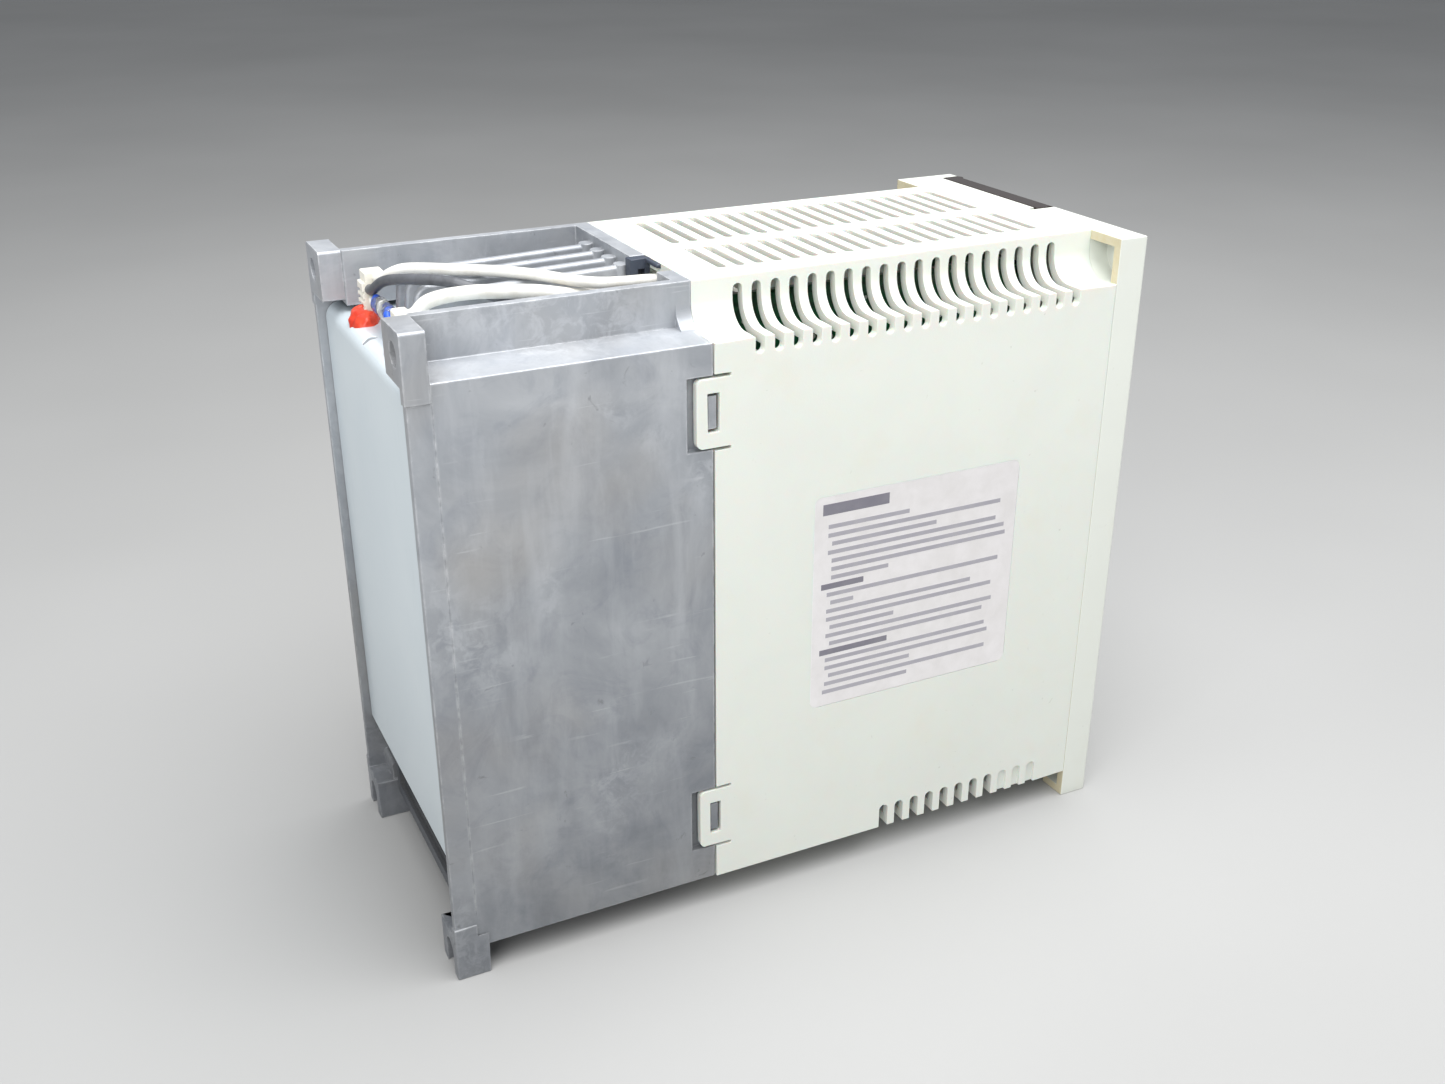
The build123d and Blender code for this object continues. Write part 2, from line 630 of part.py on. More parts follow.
# ---- front panel ----
def panel_body():
    """Front plate, rim, and the ribs that carry the case's hollow corners up to the plate."""
    outer = Pos(0, HEIGHT / 2) * Rectangle(WIDTH, HEIGHT)
    inner = Pos(0, HEIGHT / 2) * Rectangle(WIDTH - 2 * PANEL_RIM, HEIGHT - 2 * PANEL_RIM)
    body = along_y(outer, FRONT, PANEL_BACK)
    body = fillet(body.faces().sort_by(Axis.Y)[0].edges(), 1.0)
    body -= along_y(inner, PLATE_BACK, PANEL_BACK + 1)
    body += along_y(case_outline(0.05) - case_outline(CASE_WALL), PLATE_BACK - 0.5, PANEL_BACK)
    skirt = case_outline(CASE_WALL + 0.2) - case_outline(CASE_WALL + 1.6)
    body += along_y(skirt, PLATE_BACK - 0.5, SKIRT_END)
    flange_y = (PANEL_BACK - 1, FAR_FLANGE_Y)
    flange = block((COVE_X + 0.2, SIDE), flange_y, (HEIGHT - PANEL_RIM, HEIGHT))
    flange += block((SIDE - PANEL_RIM, SIDE), flange_y, (COVE_Z + 0.2, HEIGHT))
    return body + flange


def door_recess():
    """The shallow well for the display door, open at the top edge of the panel."""
    low_x, high_x = DOOR_X[0] - GAP, DOOR_X[1] + 0.4
    well = block((low_x, high_x), (FRONT - 1, DOOR_FLOOR[0]), (DOOR_Z[0] - GAP, HEIGHT + 1))
    step = block((low_x, high_x), (FRONT - 1, DOOR_FLANGE_Y + 0.6), (DOOR_FLANGE_Z - GAP, HEIGHT + 1))
    pry_slot = block((low_x - 0.6, low_x + 1), (FRONT - 1, PANEL_BACK + 1), (HEIGHT - 3.2, HEIGHT + 1))
    return well + step + pry_slot


def door_lugs():
    """Lugs with upright pins that the door's barrels turn on."""
    lugs = Part()
    lug_x, lug_y = (DOOR_HINGE_X - 1.5, DOOR_X[1] + 1), (FRONT + 0.3, DOOR_FLOOR[0] + 0.5)
    for low, high in DOOR_BARRELS:
        lugs += block(lug_x, lug_y, (low - 2, low - GAP))
        lugs += rod("z", (DOOR_HINGE_X, BARREL_Y), (low - 1, high - 2), PIN_R)
    return lugs


def front_panel():
    panel = panel_body()
    pad_x = (DOOR_X[0] - 2, SIDE - 1)
    panel += block(pad_x, (PLATE_BACK - 0.5, DOOR_FLOOR[1]), (DOOR_Z[0] - 2, HEIGHT - 1))
    panel -= door_recess()
    panel += door_lugs()
    panel -= block(spread(DISPLAY_X, GAP), (FRONT, DOOR_FLOOR[1] + 1), spread(DISPLAY_Z, GAP))
    for x in KEY_X:
        panel -= rod("y", (x, KEY_Z), (FRONT, DOOR_FLOOR[1] + 1), KEY_R + 0.1)
    for x in SOCKET_X:
        window_x = (x - SOCKET_HALF - GAP, x + SOCKET_HALF + GAP)
        panel -= block(window_x, (FRONT - 1, PLATE_BACK + 1), spread(SOCKET_Z, GAP))
    panel -= rod("y", LAMP, (FRONT - 1, PLATE_BACK + 1), 1.7)
    panel -= block((-COVER_X - 0.4, COVER_X + 0.4), (FRONT - 1, PLATE_BACK + 2), (6.4, COVER_TOP + GAP))
    panel -= block((-36.0, 36.0), (PLATE_BACK + 0.2, TERMINAL_Y[0] - 0.6), (-1.0, 13.0))
    for side in (-1, 1):
        pin = sorted((side * (COVER_X - 4), side * (COVER_X + 1)))
        panel += rod("x", (BARREL_Y, COVER_HINGE_Z), pin, PIN_R)
    for place in SOCKET_POST_AT:
        panel += board_boss(place, (PLATE_BACK - 0.5, SOCKET_BOARD_Y[0]), 2.6, 1.25)
    for place in DISPLAY_POST_AT:
        panel += board_boss(place, (DOOR_FLOOR[1] - 0.5, DISPLAY_BOARD_Y[0]), 2.4, 1.25)
    return panel


def board_boss(place, span, radius, bore):
    """A moulded boss along Y with a blind hole for a self-tapping screw in its rear end."""
    return rod("y", place, span, radius) - rod("y", place, (span[1] - 3, span[1] + 1), bore)


def display_door():
    """The smoked flap over the display, with the flange that wraps the top edge and two hinge barrels."""
    leaf = block((DOOR_X[0], DOOR_HINGE_X), (FRONT, FRONT + LEAF), DOOR_Z)
    leaf += block((DOOR_X[0], DOOR_HINGE_X), (FRONT, DOOR_FLANGE_Y), (DOOR_FLANGE_Z, HEIGHT))
    front_top = leaf.edges().filter_by(Axis.X).group_by(Axis.Z)[-1].sort_by(Axis.Y)[0]
    leaf = fillet(front_top, 1.2)
    leaf += block((DOOR_HINGE_X, DOOR_X[1]), (BARREL_Y, DOOR_FLANGE_Y), (DOOR_FLANGE_Z, HEIGHT))
    leaf += rod("z", (DOOR_HINGE_X, BARREL_Y), DOOR_Z, BARREL_R)
    for low, high in DOOR_BARRELS:
        leaf -= block((DOOR_HINGE_X - 2.6, DOOR_X[1] + 1), (FRONT - 1, BARREL_Y + 2.5), (low - 2.6, low))
        leaf -= rod("z", (DOOR_HINGE_X, BARREL_Y), (low - 1, high - 1.6), PIN_BORE_R)
    return leaf


def terminal_cover():
    """The flap over the power terminals, hinged along its lower edge."""
    cover = block((-COVER_X, COVER_X), (FRONT, FRONT + LEAF), (COVER_HINGE_Z, COVER_TOP))
    cover += rod("x", (BARREL_Y, COVER_HINGE_Z), (-COVER_X, COVER_X), BARREL_R)
    for z in (18.0, 27.0, 36.0):
        cover -= block((-30.0, 30.0), (FRONT - 1, FRONT + 0.5), (z - 0.8, z + 0.8))
    for side in (-1, 1):
        ends = sorted((side * (COVER_X - 4.6), side * (COVER_X + 1)))
        cover -= rod("x", (BARREL_Y, COVER_HINGE_Z), ends, PIN_BORE_R)
    return cover


def key(x):
    cap = rod("y", (x, KEY_Z), (-95.0, -91.6), KEY_R)
    cap = fillet(cap.edges().group_by(Axis.Y)[0], 0.5)
    return cap + rod("y", (x, KEY_Z), (-92.2, -91.5), KEY_R + 0.8)


def key_switches():
    span_y, span_z = (-90.4, DISPLAY_BOARD_Y[0]), spread((KEY_Z, KEY_Z), 3)
    return group([block(spread((x, x), 3), span_y, span_z) for x in KEY_X])


def display_module():
    return block(DISPLAY_X, (-93.8, DISPLAY_BOARD_Y[0]), DISPLAY_Z)


def display_board():
    board = block((-4.0, 40.0), DISPLAY_BOARD_Y, (120.5, 152.0))
    return board - screw_holes(DISPLAY_POST_AT, DISPLAY_BOARD_Y)


def signal_sockets():
    """Four shrouded sockets that show in the panel's windows."""
    sockets = []
    for x in SOCKET_X:
        shroud = block((x - SOCKET_HALF, x + SOCKET_HALF), (-95.8, SOCKET_BOARD_Y[0]), SOCKET_Z)
        sockets.append(shroud - block((x - 2.9, x + 2.9), (-97.0, -86.0), spread(SOCKET_Z, -1.7)))
    return group(sockets)


def socket_board():
    board = block((-40.0, 40.0), SOCKET_BOARD_Y, (50.0, 114.0))
    return board - screw_holes(SOCKET_POST_AT, SOCKET_BOARD_Y)


def charge_lamp():
    lamp = rod("y", LAMP, (FRONT + 0.3, SOCKET_BOARD_Y[0]), 1.5)
    return fillet(lamp.edges().group_by(Axis.Y)[0], 0.9)


# ---- inside the case ----
def screw_holes(places, span):
    holes = Part()
    for place in places:
        holes += rod("y", place, spread(span, 1), 1.5)
    return holes


def module_screw_places():
    middle = sum(MODULE_X) / 2
    return [(middle, MODULE_Z[0] - 4), (middle, MODULE_Z[1] + 4)]


def power_module():
    """The potted power switches, with a screw ear at each end, flat on the heat sink's plate."""
    module = block(MODULE_X, MODULE_Y, MODULE_Z)
    ear_z = spread(MODULE_Z, 8)
    middle = sum(MODULE_X) / 2
    module += block((middle - 8, middle + 8), (SEAM - 6, SEAM), ear_z)
    for place in module_screw_places():
        module -= rod("y", place, (SEAM - 7, SEAM + 1), 2.1)
    return module


def module_screws():
    screws = []
    for place in module_screw_places():
        head = rod("y", place, (SEAM - 9.0, SEAM - 6), 3.5)
        screws.append(head + rod("y", place, (SEAM - 6.5, SEAM + 3.4), 1.9))
    return group(screws)


def board_standoffs():
    """Brass pillars with a stud in the heat sink's plate and a threaded hole for the board's screw."""
    pillars = []
    for x, z in STANDOFF_AT:
        pillar = along_y(Pos(x, z) * RegularPolygon(3.0, 6), POWER_BOARD_Y[1], SEAM)
        pillar += rod("y", (x, z), (SEAM - 1, SEAM + 2.8), 1.4)
        pillars.append(pillar - rod("y", (x, z), (POWER_BOARD_Y[1] - 1, POWER_BOARD_Y[1] + 8), 1.25))
    return group(pillars)


def power_board():
    board = block(POWER_BOARD_X, POWER_BOARD_Y, POWER_BOARD_Z)
    return board - screw_holes(STANDOFF_AT, POWER_BOARD_Y)


def bus_capacitors():
    cans = []
    for z in (121.0, 87.0):
        can = rod("y", (21.0, z), (-40.6, POWER_BOARD_Y[0]), 15.0)
        cans.append(fillet(can.edges().group_by(Axis.Y)[0], 1.2))
    return group(cans)


def supply_transformer():
    front, back = -16.0, POWER_BOARD_Y[0]
    core = block((-20.0, 2.0), (front + 4, back), (108.0, 130.0))
    return core + block((-17.0, -1.0), (front, back), (111.0, 127.0))


def inrush_relay():
    relay = block((-19.0, -3.0), (-13.0, POWER_BOARD_Y[0]), (80.0, 100.0))
    return fillet(relay.edges().filter_by(Axis.Y), 1.0)


def control_board():
    board = block(CONTROL_BOARD_X, CONTROL_BOARD_Y, CONTROL_BOARD_Z)
    for place in CONTROL_POST_AT:
        board -= rod("x", place, spread(CONTROL_BOARD_X, 1), 1.5)
    return board


def control_board_posts():
    """Nylon posts between the case's left wall and the control board."""
    posts = []
    for place in CONTROL_POST_AT:
        post = rod("x", place, (-SIDE + CASE_WALL, CONTROL_BOARD_X[0]), 3.0)
        posts.append(post - rod("x", place, (CONTROL_BOARD_X[0] - 5, CONTROL_BOARD_X[0] + 1), 1.25))
    return group(posts)


def small_screw(place, seat, length):
    """A pan-head screw along Y, its head behind the seat, its shank in front of it."""
    head = fillet(rod("y", place, (seat, seat + 1.4), 2.4).edges().group_by(Axis.Y)[-1], 0.5)
    return head + rod("y", place, (seat - length, seat + 0.5), 1.2)


def board_screws():
    screws = [small_screw(place, DISPLAY_BOARD_Y[1], 3.6) for place in DISPLAY_POST_AT]
    screws += [small_screw(place, SOCKET_BOARD_Y[1], 3.8) for place in SOCKET_POST_AT]
    for place in STANDOFF_AT:
        head = rod("y", place, (POWER_BOARD_Y[0] - 1.4, POWER_BOARD_Y[0]), 2.4)
        screws.append(head + rod("y", place, (POWER_BOARD_Y[0] - 0.5, POWER_BOARD_Y[1] + 6), 1.2))
    for place in CONTROL_POST_AT:
        seat = CONTROL_BOARD_X[1]
        head = rod("x", place, (seat, seat + 1.4), 2.4)
        screws.append(head + rod("x", place, (seat - 5.6, seat + 0.5), 1.2))
    return group(screws)


def terminal_places():
    middle = (TERMINAL_COUNT - 1) / 2
    return [((i - middle) * TERMINAL_PITCH, z) for z in TERMINAL_ROWS for i in range(TERMINAL_COUNT)]


def terminal_block():
    """A barrier strip with two rows of wells, standing on the case's floor."""
    body = block((-TERMINAL_X, TERMINAL_X), TERMINAL_Y, TERMINAL_Z)
    body += block((-TERMINAL_X, TERMINAL_X), (-84.0, TERMINAL_Y[1]), (FOOT + CASE_WALL, TERMINAL_Z[0] + 1))
    for x, z in terminal_places():
        body -= block((x - 4.4, x + 4.4), (TERMINAL_Y[0] - 1, -80.0), (z - 6.4, z + 6.4))
        body -= rod("y", (x, z), (-81.0, -72.5), 2.05)
    return body


def terminal_screws():
    screws = []
    for x, z in terminal_places():
        clamp = block((x - 3.9, x + 3.9), (-80.9, -80.0), (z - 4.0, z + 4.0))
        head = fillet(rod("y", (x, z), (-83.4, -80.9), 3.5).edges().group_by(Axis.Y)[0], 0.8)
        screws.append(clamp + head + rod("y", (x, z), (-81.0, -73.0), 1.95))
    return group(screws)


def main():
    parts = {
        "heat_sink": heat_sink(),
        "resistor_can": resistor_can(),
        "resistor_core": resistor_core(),
        "ceramic_terminals": ceramic_terminals(),
        "silicone_sealant": silicone_sealant(),
        "thermal_fuse": thermal_fuse(),
        "upper_white_lead": lead("upper_white_lead", UPPER_LEAD_ROUTE, UPPER_LEAD_D),
        "lower_white_lead": lead("lower_white_lead", LOWER_LEAD_ROUTE, LOWER_LEAD_D),
        "grey_lead": lead("grey_lead", GREY_LEAD_ROUTE, GREY_LEAD_D),
        "cable_clip": cable_clip(),
        "lead_plug": lead_plug(),
        "fan_tray": fan_tray(),
        "fan_frame": fan_frame(),
        "fan_rotor": fan_rotor(),
        "fan_guard": fan_guard(),
        "fan_screws": fan_screws(),
        "case_shell": case_shell(),
        "side_label": side_label(),
        "rating_plate": rating_plate(),
        "front_panel": front_panel(),
        "display_door": display_door(),
        "terminal_cover": terminal_cover(),
        "key_switches": key_switches(),
        "display_module": display_module(),
        "display_board": display_board(),
        "signal_sockets": signal_sockets(),
        "socket_board": socket_board(),
        "charge_lamp": charge_lamp(),
        "power_module": power_module(),
        "module_screws": module_screws(),
        "board_standoffs": board_standoffs(),
        "power_board": power_board(),
        "bus_capacitors": bus_capacitors(),
        "supply_transformer": supply_transformer(),
        "inrush_relay": inrush_relay(),
        "control_board": control_board(),
        "control_board_posts": control_board_posts(),
        "board_screws": board_screws(),
        "terminal_block": terminal_block(),
        "terminal_screws": terminal_screws(),
    }
    for name, x in zip(KEY_NAMES, KEY_X):
        parts[name] = key(x)
    os.makedirs("parts", exist_ok=True)
    for name, shape in parts.items():
        export_step(shape, f"parts/{name}.step")


main()
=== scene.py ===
import json
import math

import bmesh
import bpy
from mathutils import Matrix, Vector, noise


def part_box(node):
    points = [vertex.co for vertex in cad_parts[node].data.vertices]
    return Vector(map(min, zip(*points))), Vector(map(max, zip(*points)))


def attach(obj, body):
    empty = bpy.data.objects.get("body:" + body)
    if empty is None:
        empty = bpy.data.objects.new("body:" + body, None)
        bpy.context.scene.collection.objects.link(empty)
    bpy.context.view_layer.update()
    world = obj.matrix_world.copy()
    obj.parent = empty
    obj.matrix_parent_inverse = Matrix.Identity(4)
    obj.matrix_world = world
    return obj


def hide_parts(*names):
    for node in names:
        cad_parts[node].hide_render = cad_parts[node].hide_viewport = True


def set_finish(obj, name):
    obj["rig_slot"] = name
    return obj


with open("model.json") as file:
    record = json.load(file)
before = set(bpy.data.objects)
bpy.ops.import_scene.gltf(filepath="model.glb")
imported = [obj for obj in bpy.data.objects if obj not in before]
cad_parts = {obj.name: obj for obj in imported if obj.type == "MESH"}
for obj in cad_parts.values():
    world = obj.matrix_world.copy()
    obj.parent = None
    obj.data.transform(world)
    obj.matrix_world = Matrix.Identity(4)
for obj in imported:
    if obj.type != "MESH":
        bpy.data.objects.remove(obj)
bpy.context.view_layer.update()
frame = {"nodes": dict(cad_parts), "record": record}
NODES = frame["nodes"]
SCENE = bpy.context.scene
MM = 0.001
PROUD = 0.00003  # how far a printed or inlaid mark stands out of the face it is on


# ---- camera ----
CAMERA_PLACE = (-0.34132, 0.16699, 0.25810)
CAMERA_AZIMUTH = math.radians(244.21)
CAMERA_ELEVATION = math.radians(24.75)
CAMERA_ROLL = math.radians(-0.12)
SENSOR_WIDTH = 36.0  # millimetres, as is the lens
LENS = 37.5


def make_camera():
    """A plain lens at its place, turned by azimuth, elevation and roll."""
    data = bpy.data.cameras.new("camera")
    data.sensor_width = SENSOR_WIDTH
    data.lens = LENS
    data.clip_start, data.clip_end = 0.01, 20.0
    camera = bpy.data.objects.new("camera", data)
    SCENE.collection.objects.link(camera)
    flat = math.cos(CAMERA_ELEVATION)
    around = Vector((math.sin(CAMERA_AZIMUTH), -math.cos(CAMERA_AZIMUTH), 0.0))
    back = around * flat + Vector((0.0, 0.0, math.sin(CAMERA_ELEVATION)))
    level = Vector((0, 0, 1)).cross(back).normalized()
    upright = back.cross(level)
    right = level * math.cos(CAMERA_ROLL) + upright * math.sin(CAMERA_ROLL)
    up = upright * math.cos(CAMERA_ROLL) - level * math.sin(CAMERA_ROLL)
    turn = Matrix((right, up, back)).transposed().to_4x4()
    camera.matrix_world = Matrix.Translation(CAMERA_PLACE) @ turn
    SCENE.camera = camera


make_camera()


# ---- leads ----
# Each route runs from its terminal, over the fins, through the clip and down to the plug in the case.
UPPER_LEAD = [
    (0.0200, 0.0857, 0.1629), (0.0186, 0.0857, 0.1629), (0.0169, 0.0848, 0.1637),
    (0.0149, 0.0832, 0.1653), (0.0133, 0.0809, 0.1663), (0.0110, 0.0774, 0.1665),
    (0.0084, 0.0732, 0.1665), (0.0053, 0.0692, 0.1665), (0.0027, 0.0650, 0.1665),
    (-0.0001, 0.0609, 0.1665), (-0.0042, 0.0573, 0.1666), (-0.0078, 0.0533, 0.1664),
    (-0.0108, 0.0496, 0.1659), (-0.0136, 0.0457, 0.1654), (-0.0156, 0.0414, 0.1650),
    (-0.0160, 0.0360, 0.1647), (-0.0146, 0.0280, 0.1641), (-0.0136, 0.0200, 0.1630),
    (-0.0115, 0.0114, 0.1608), (-0.0092, 0.0036, 0.1570), (-0.0085, -0.0016, 0.1518),
    (-0.0085, -0.0016, 0.1460),
]
LOWER_LEAD = [
    (-0.0074, 0.0856, 0.1604), (-0.0074, 0.0842, 0.1604), (-0.0078, 0.0819, 0.1634),
    (-0.0090, 0.0780, 0.1646), (-0.0108, 0.0739, 0.1653), (-0.0120, 0.0697, 0.1655),
    (-0.0122, 0.0650, 0.1650), (-0.0122, 0.0601, 0.1645), (-0.0128, 0.0555, 0.1640),
    (-0.0131, 0.0507, 0.1629), (-0.0129, 0.0446, 0.1616), (-0.0123, 0.0365, 0.1612),
    (-0.0116, 0.0280, 0.1612), (-0.0100, 0.0200, 0.1610), (-0.0070, 0.0114, 0.1596),
    (-0.0046, 0.0036, 0.1564), (-0.0040, -0.0016, 0.1516), (-0.0040, -0.0016, 0.1460),
]
GREY_LEAD = [
    (0.0200, 0.0879, 0.1604), (0.0186, 0.0879, 0.1604), (0.0169, 0.0874, 0.1614),
    (0.0146, 0.0863, 0.1633), (0.0111, 0.0849, 0.1646), (0.0067, 0.0827, 0.1655),
    (0.0019, 0.0799, 0.1662), (-0.0016, 0.0763, 0.1665), (-0.0059, 0.0723, 0.1662),
    (-0.0079, 0.0680, 0.1640), (-0.0082, 0.0620, 0.1616), (-0.0090, 0.0555, 0.1594),
    (-0.0108, 0.0485, 0.1580), (-0.0136, 0.0415, 0.1582), (-0.0162, 0.0348, 0.1601),
    (-0.0168, 0.0284, 0.1612), (-0.0164, 0.0206, 0.1608), (-0.0152, 0.0120, 0.1594),
    (-0.0136, 0.0040, 0.1564), (-0.0130, -0.0016, 0.1516), (-0.0130, -0.0016, 0.1460),
]


def make_lead(name, route, diameter, replaced, slot):
    """One insulated lead as a smooth curve through its route."""
    curve = bpy.data.curves.new(name, "CURVE")
    curve.dimensions = "3D"
    curve.bevel_depth = 1.0  # times each point's radius, so the curve's box is no larger than the tube
    curve.bevel_resolution = 6
    curve.use_fill_caps = True
    curve.resolution_u = 16
    line = curve.splines.new("NURBS")
    line.points.add(len(route) - 1)
    for spot, point in zip(line.points, route):
        spot.co = (*point, 1.0)
        spot.radius = diameter / 2
    line.order_u = 3
    line.use_endpoint_u = True
    lead = bpy.data.objects.new(name, curve)
    SCENE.collection.objects.link(lead)
    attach(lead, "drive_body")
    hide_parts(replaced)
    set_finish(lead, slot)
    return lead


LEADS = [
    make_lead("upper_white_wire", UPPER_LEAD, 0.0028, "upper_white_lead", "white_insulation"),
    make_lead("lower_white_wire", LOWER_LEAD, 0.0034, "lower_white_lead", "white_insulation"),
    make_lead("grey_wire", GREY_LEAD, 0.0026, "grey_lead", "grey_insulation"),
]


# ---- materials ----
class Finish:
    """One node material, with short calls for what the finishes share. Lengths are in metres."""

    def __init__(self, name):
        self.material = bpy.data.materials.new(name)
        self.material.use_nodes = True
        self.tree = self.material.node_tree
        self.shader = self.tree.nodes["Principled BSDF"]
        self.place = self.add("TexCoord").outputs["Object"]

    def add(self, kind, inputs=(), **settings):
        node = self.tree.nodes.new("ShaderNode" + kind)
        for key, value in settings.items():
            setattr(node, key, value)
        for key, value in dict(inputs).items():
            self.feed(node.inputs[key], value)
        return node

    def feed(self, socket, value):
        if isinstance(value, bpy.types.NodeSocket):
            self.tree.links.new(value, socket)
        elif hasattr(socket.default_value, "__len__") and len(socket.default_value) == 4:
            socket.default_value = (*value[:3], 1.0)
        else:
            socket.default_value = value

    def stretched(self, x, y, z):
        """The surface position scaled along each axis, for grain that runs one way."""
        return self.add("Mapping", {"Vector": self.place, "Scale": (x, y, z)}).outputs["Vector"]

    def noise(self, size, detail=4.0, roughness=0.55, distortion=0.0, at=None):
        """Noise whose features are about size metres across."""
        inputs = {
            "Vector": at or self.place, "Scale": 1.0 / size,
            "Detail": detail, "Roughness": roughness, "Distortion": distortion,
        }
        return self.add("TexNoise", inputs).outputs["Fac"]

    def cells(self, size, feature="F1"):
        inputs = {"Vector": self.place, "Scale": 1.0 / size}
        return self.add("TexVoronoi", inputs, feature=feature).outputs["Distance"]

    def level(self, value, low, high, to_low=0.0, to_high=1.0):
        """The value with low moved to to_low and high to to_high, and held beyond them."""
        inputs = {"Value": value, "From Min": low, "From Max": high, "To Min": to_low, "To Max": to_high}
        return self.add("MapRange", inputs, clamp=True).outputs["Result"]

    def sum(self, first, second, operation="ADD"):
        return self.add("Math", {0: first, 1: second}, operation=operation).outputs[0]

    def mix(self, share, first, second, blend="MIX"):
        node = self.add("Mix", data_type="RGBA", blend_type=blend)
        self.feed(node.inputs["Factor"], share)
        self.feed(node.inputs[6], first)
        self.feed(node.inputs[7], second)
        return node.outputs[2]

    def edges(self, radius):
        """1 on corners and edges sharper than radius, 0 on flat ground."""
        soft = self.add("Bevel", {"Radius": radius}, samples=4).outputs["Normal"]
        hard = self.add("NewGeometry").outputs["Normal"]
        dot = self.add("VectorMath", {0: soft, 1: hard}, operation="DOT_PRODUCT").outputs["Value"]
        return self.level(dot, 0.995, 0.9)

    def hollows(self, reach):
        """1 deep in corners and slots, 0 in the open."""
        open_air = self.add("AmbientOcclusion", {"Distance": reach}, samples=4).outputs["AO"]
        return self.level(open_air, 0.95, 0.35)

    def height(self):
        """Height above the bottom of the drive. The large pieces' finishes use it for painted shade
        toward the bottom, and the casting and the can also for painted light toward the top.
        """
        return self.add("SeparateXYZ", {"Vector": self.place}).outputs["Z"]

    def bump(self, height, distance, strength=1.0, onto=None):
        inputs = {"Height": height, "Distance": distance, "Strength": strength}
        if onto is not None:
            inputs["Normal"] = onto
        return self.add("Bump", inputs).outputs["Normal"]

    def done(self, colour=None, roughness=None, normal=None, **plain):
        """Connects the shader's main inputs, and sets the others to plain numbers or colours."""
        for socket, value in (("Base Color", colour), ("Roughness", roughness), ("Normal", normal)):
            if value is not None:
                self.feed(self.shader.inputs[socket], value)
        for key, value in plain.items():
            self.feed(self.shader.inputs[key.replace("_", " ")], value)
        return self.material


def srgb(red, green, blue):
    """A colour given as 0 to 255 screen values, as the linear numbers that shaders take."""
    shares = (red / 255, green / 255, blue / 255)
    return tuple(((c + 0.055) / 1.055) ** 2.4 if c > 0.04 else c / 12.92 for c in shares)


def cast_aluminium():
    """Die-cast aluminium: clouded grey, oxide bloom, fine scratches and small dark stains."""
    f = Finish("cast aluminium")
    cloud = f.noise(0.045, 6, 0.62, 0.9)
    patch = f.noise(0.016, 6, 0.65, 1.4)
    grain = f.noise(0.0011, 3, 0.6)
    tone = f.mix(f.level(cloud, 0.36, 0.66), srgb(152, 156, 162), srgb(182, 185, 189))
    tone = f.mix(f.level(patch, 0.5, 0.72, 0.0, 0.42), tone, srgb(134, 139, 149))
    tone = f.mix(f.level(f.noise(0.06, 3, 0.5), 0.5, 0.66, 0.0, 0.5), tone, srgb(172, 168, 163))
    streak = f.noise(0.01, 5, 0.6, 0.3, f.stretched(1.0, 1.0, 0.2))
    tone = f.mix(f.level(streak, 0.5, 0.75, 0.0, 0.4), tone, srgb(208, 211, 215))
    where = f.level(f.noise(0.04, 3, 0.5), 0.54, 0.62)
    bloom = f.sum(where, f.level(f.noise(0.0045, 8, 0.7, 0.6), 0.46, 0.58), "MULTIPLY")
    tone = f.mix(f.sum(bloom, 0.3, "MULTIPLY"), tone, srgb(214, 217, 221))
    scratch = f.noise(0.0012, 2, 0.5, 0.2, f.stretched(1.0, 0.05, 1.0))
    marks = f.sum(f.level(scratch, 0.66, 0.7), f.level(f.noise(0.02, 2), 0.45, 0.6), "MULTIPLY")
    tone = f.mix(f.sum(marks, 0.25, "MULTIPLY"), tone, srgb(226, 228, 230))
    stains = f.level(f.noise(0.0045, 4, 0.6, 0.8), 0.67, 0.74, 0.0, 0.5)
    tone = f.mix(stains, tone, srgb(116, 117, 120))
    # painted shade: corners and slots are darkened by ambient occlusion
    tone = f.mix(f.sum(f.hollows(0.005), 0.15, "MULTIPLY"), tone, srgb(62, 61, 60))
    worn = f.sum(f.edges(0.0007), f.level(f.noise(0.004, 4, 0.6), 0.4, 0.62), "MULTIPLY")
    tone = f.mix(f.sum(worn, 0.7, "MULTIPLY"), tone, srgb(232, 234, 236))
    # painted shade and painted light: darker toward the bottom, a little brighter toward the top
    tone = f.mix(1.0, tone, f.level(f.height(), 0.015, 0.15, 0.6, 1.07), "MULTIPLY")
    rough = f.level(f.sum(patch, f.sum(grain, 0.35, "MULTIPLY")), 0.45, 0.95, 0.42, 0.66)
    skin = f.bump(grain, 0.00006, 0.6)
    skin = f.bump(f.level(f.cells(0.0028), 0.0, 0.09), 0.00008, 0.5, skin)
    skin = f.bump(f.level(scratch, 0.66, 0.7), 0.00002, 0.5, skin)
    skin = f.bump(f.noise(0.012, 3, 0.5), 0.0004, 0.5, skin)
    return f.done(tone, rough, skin, Metallic=0.45)


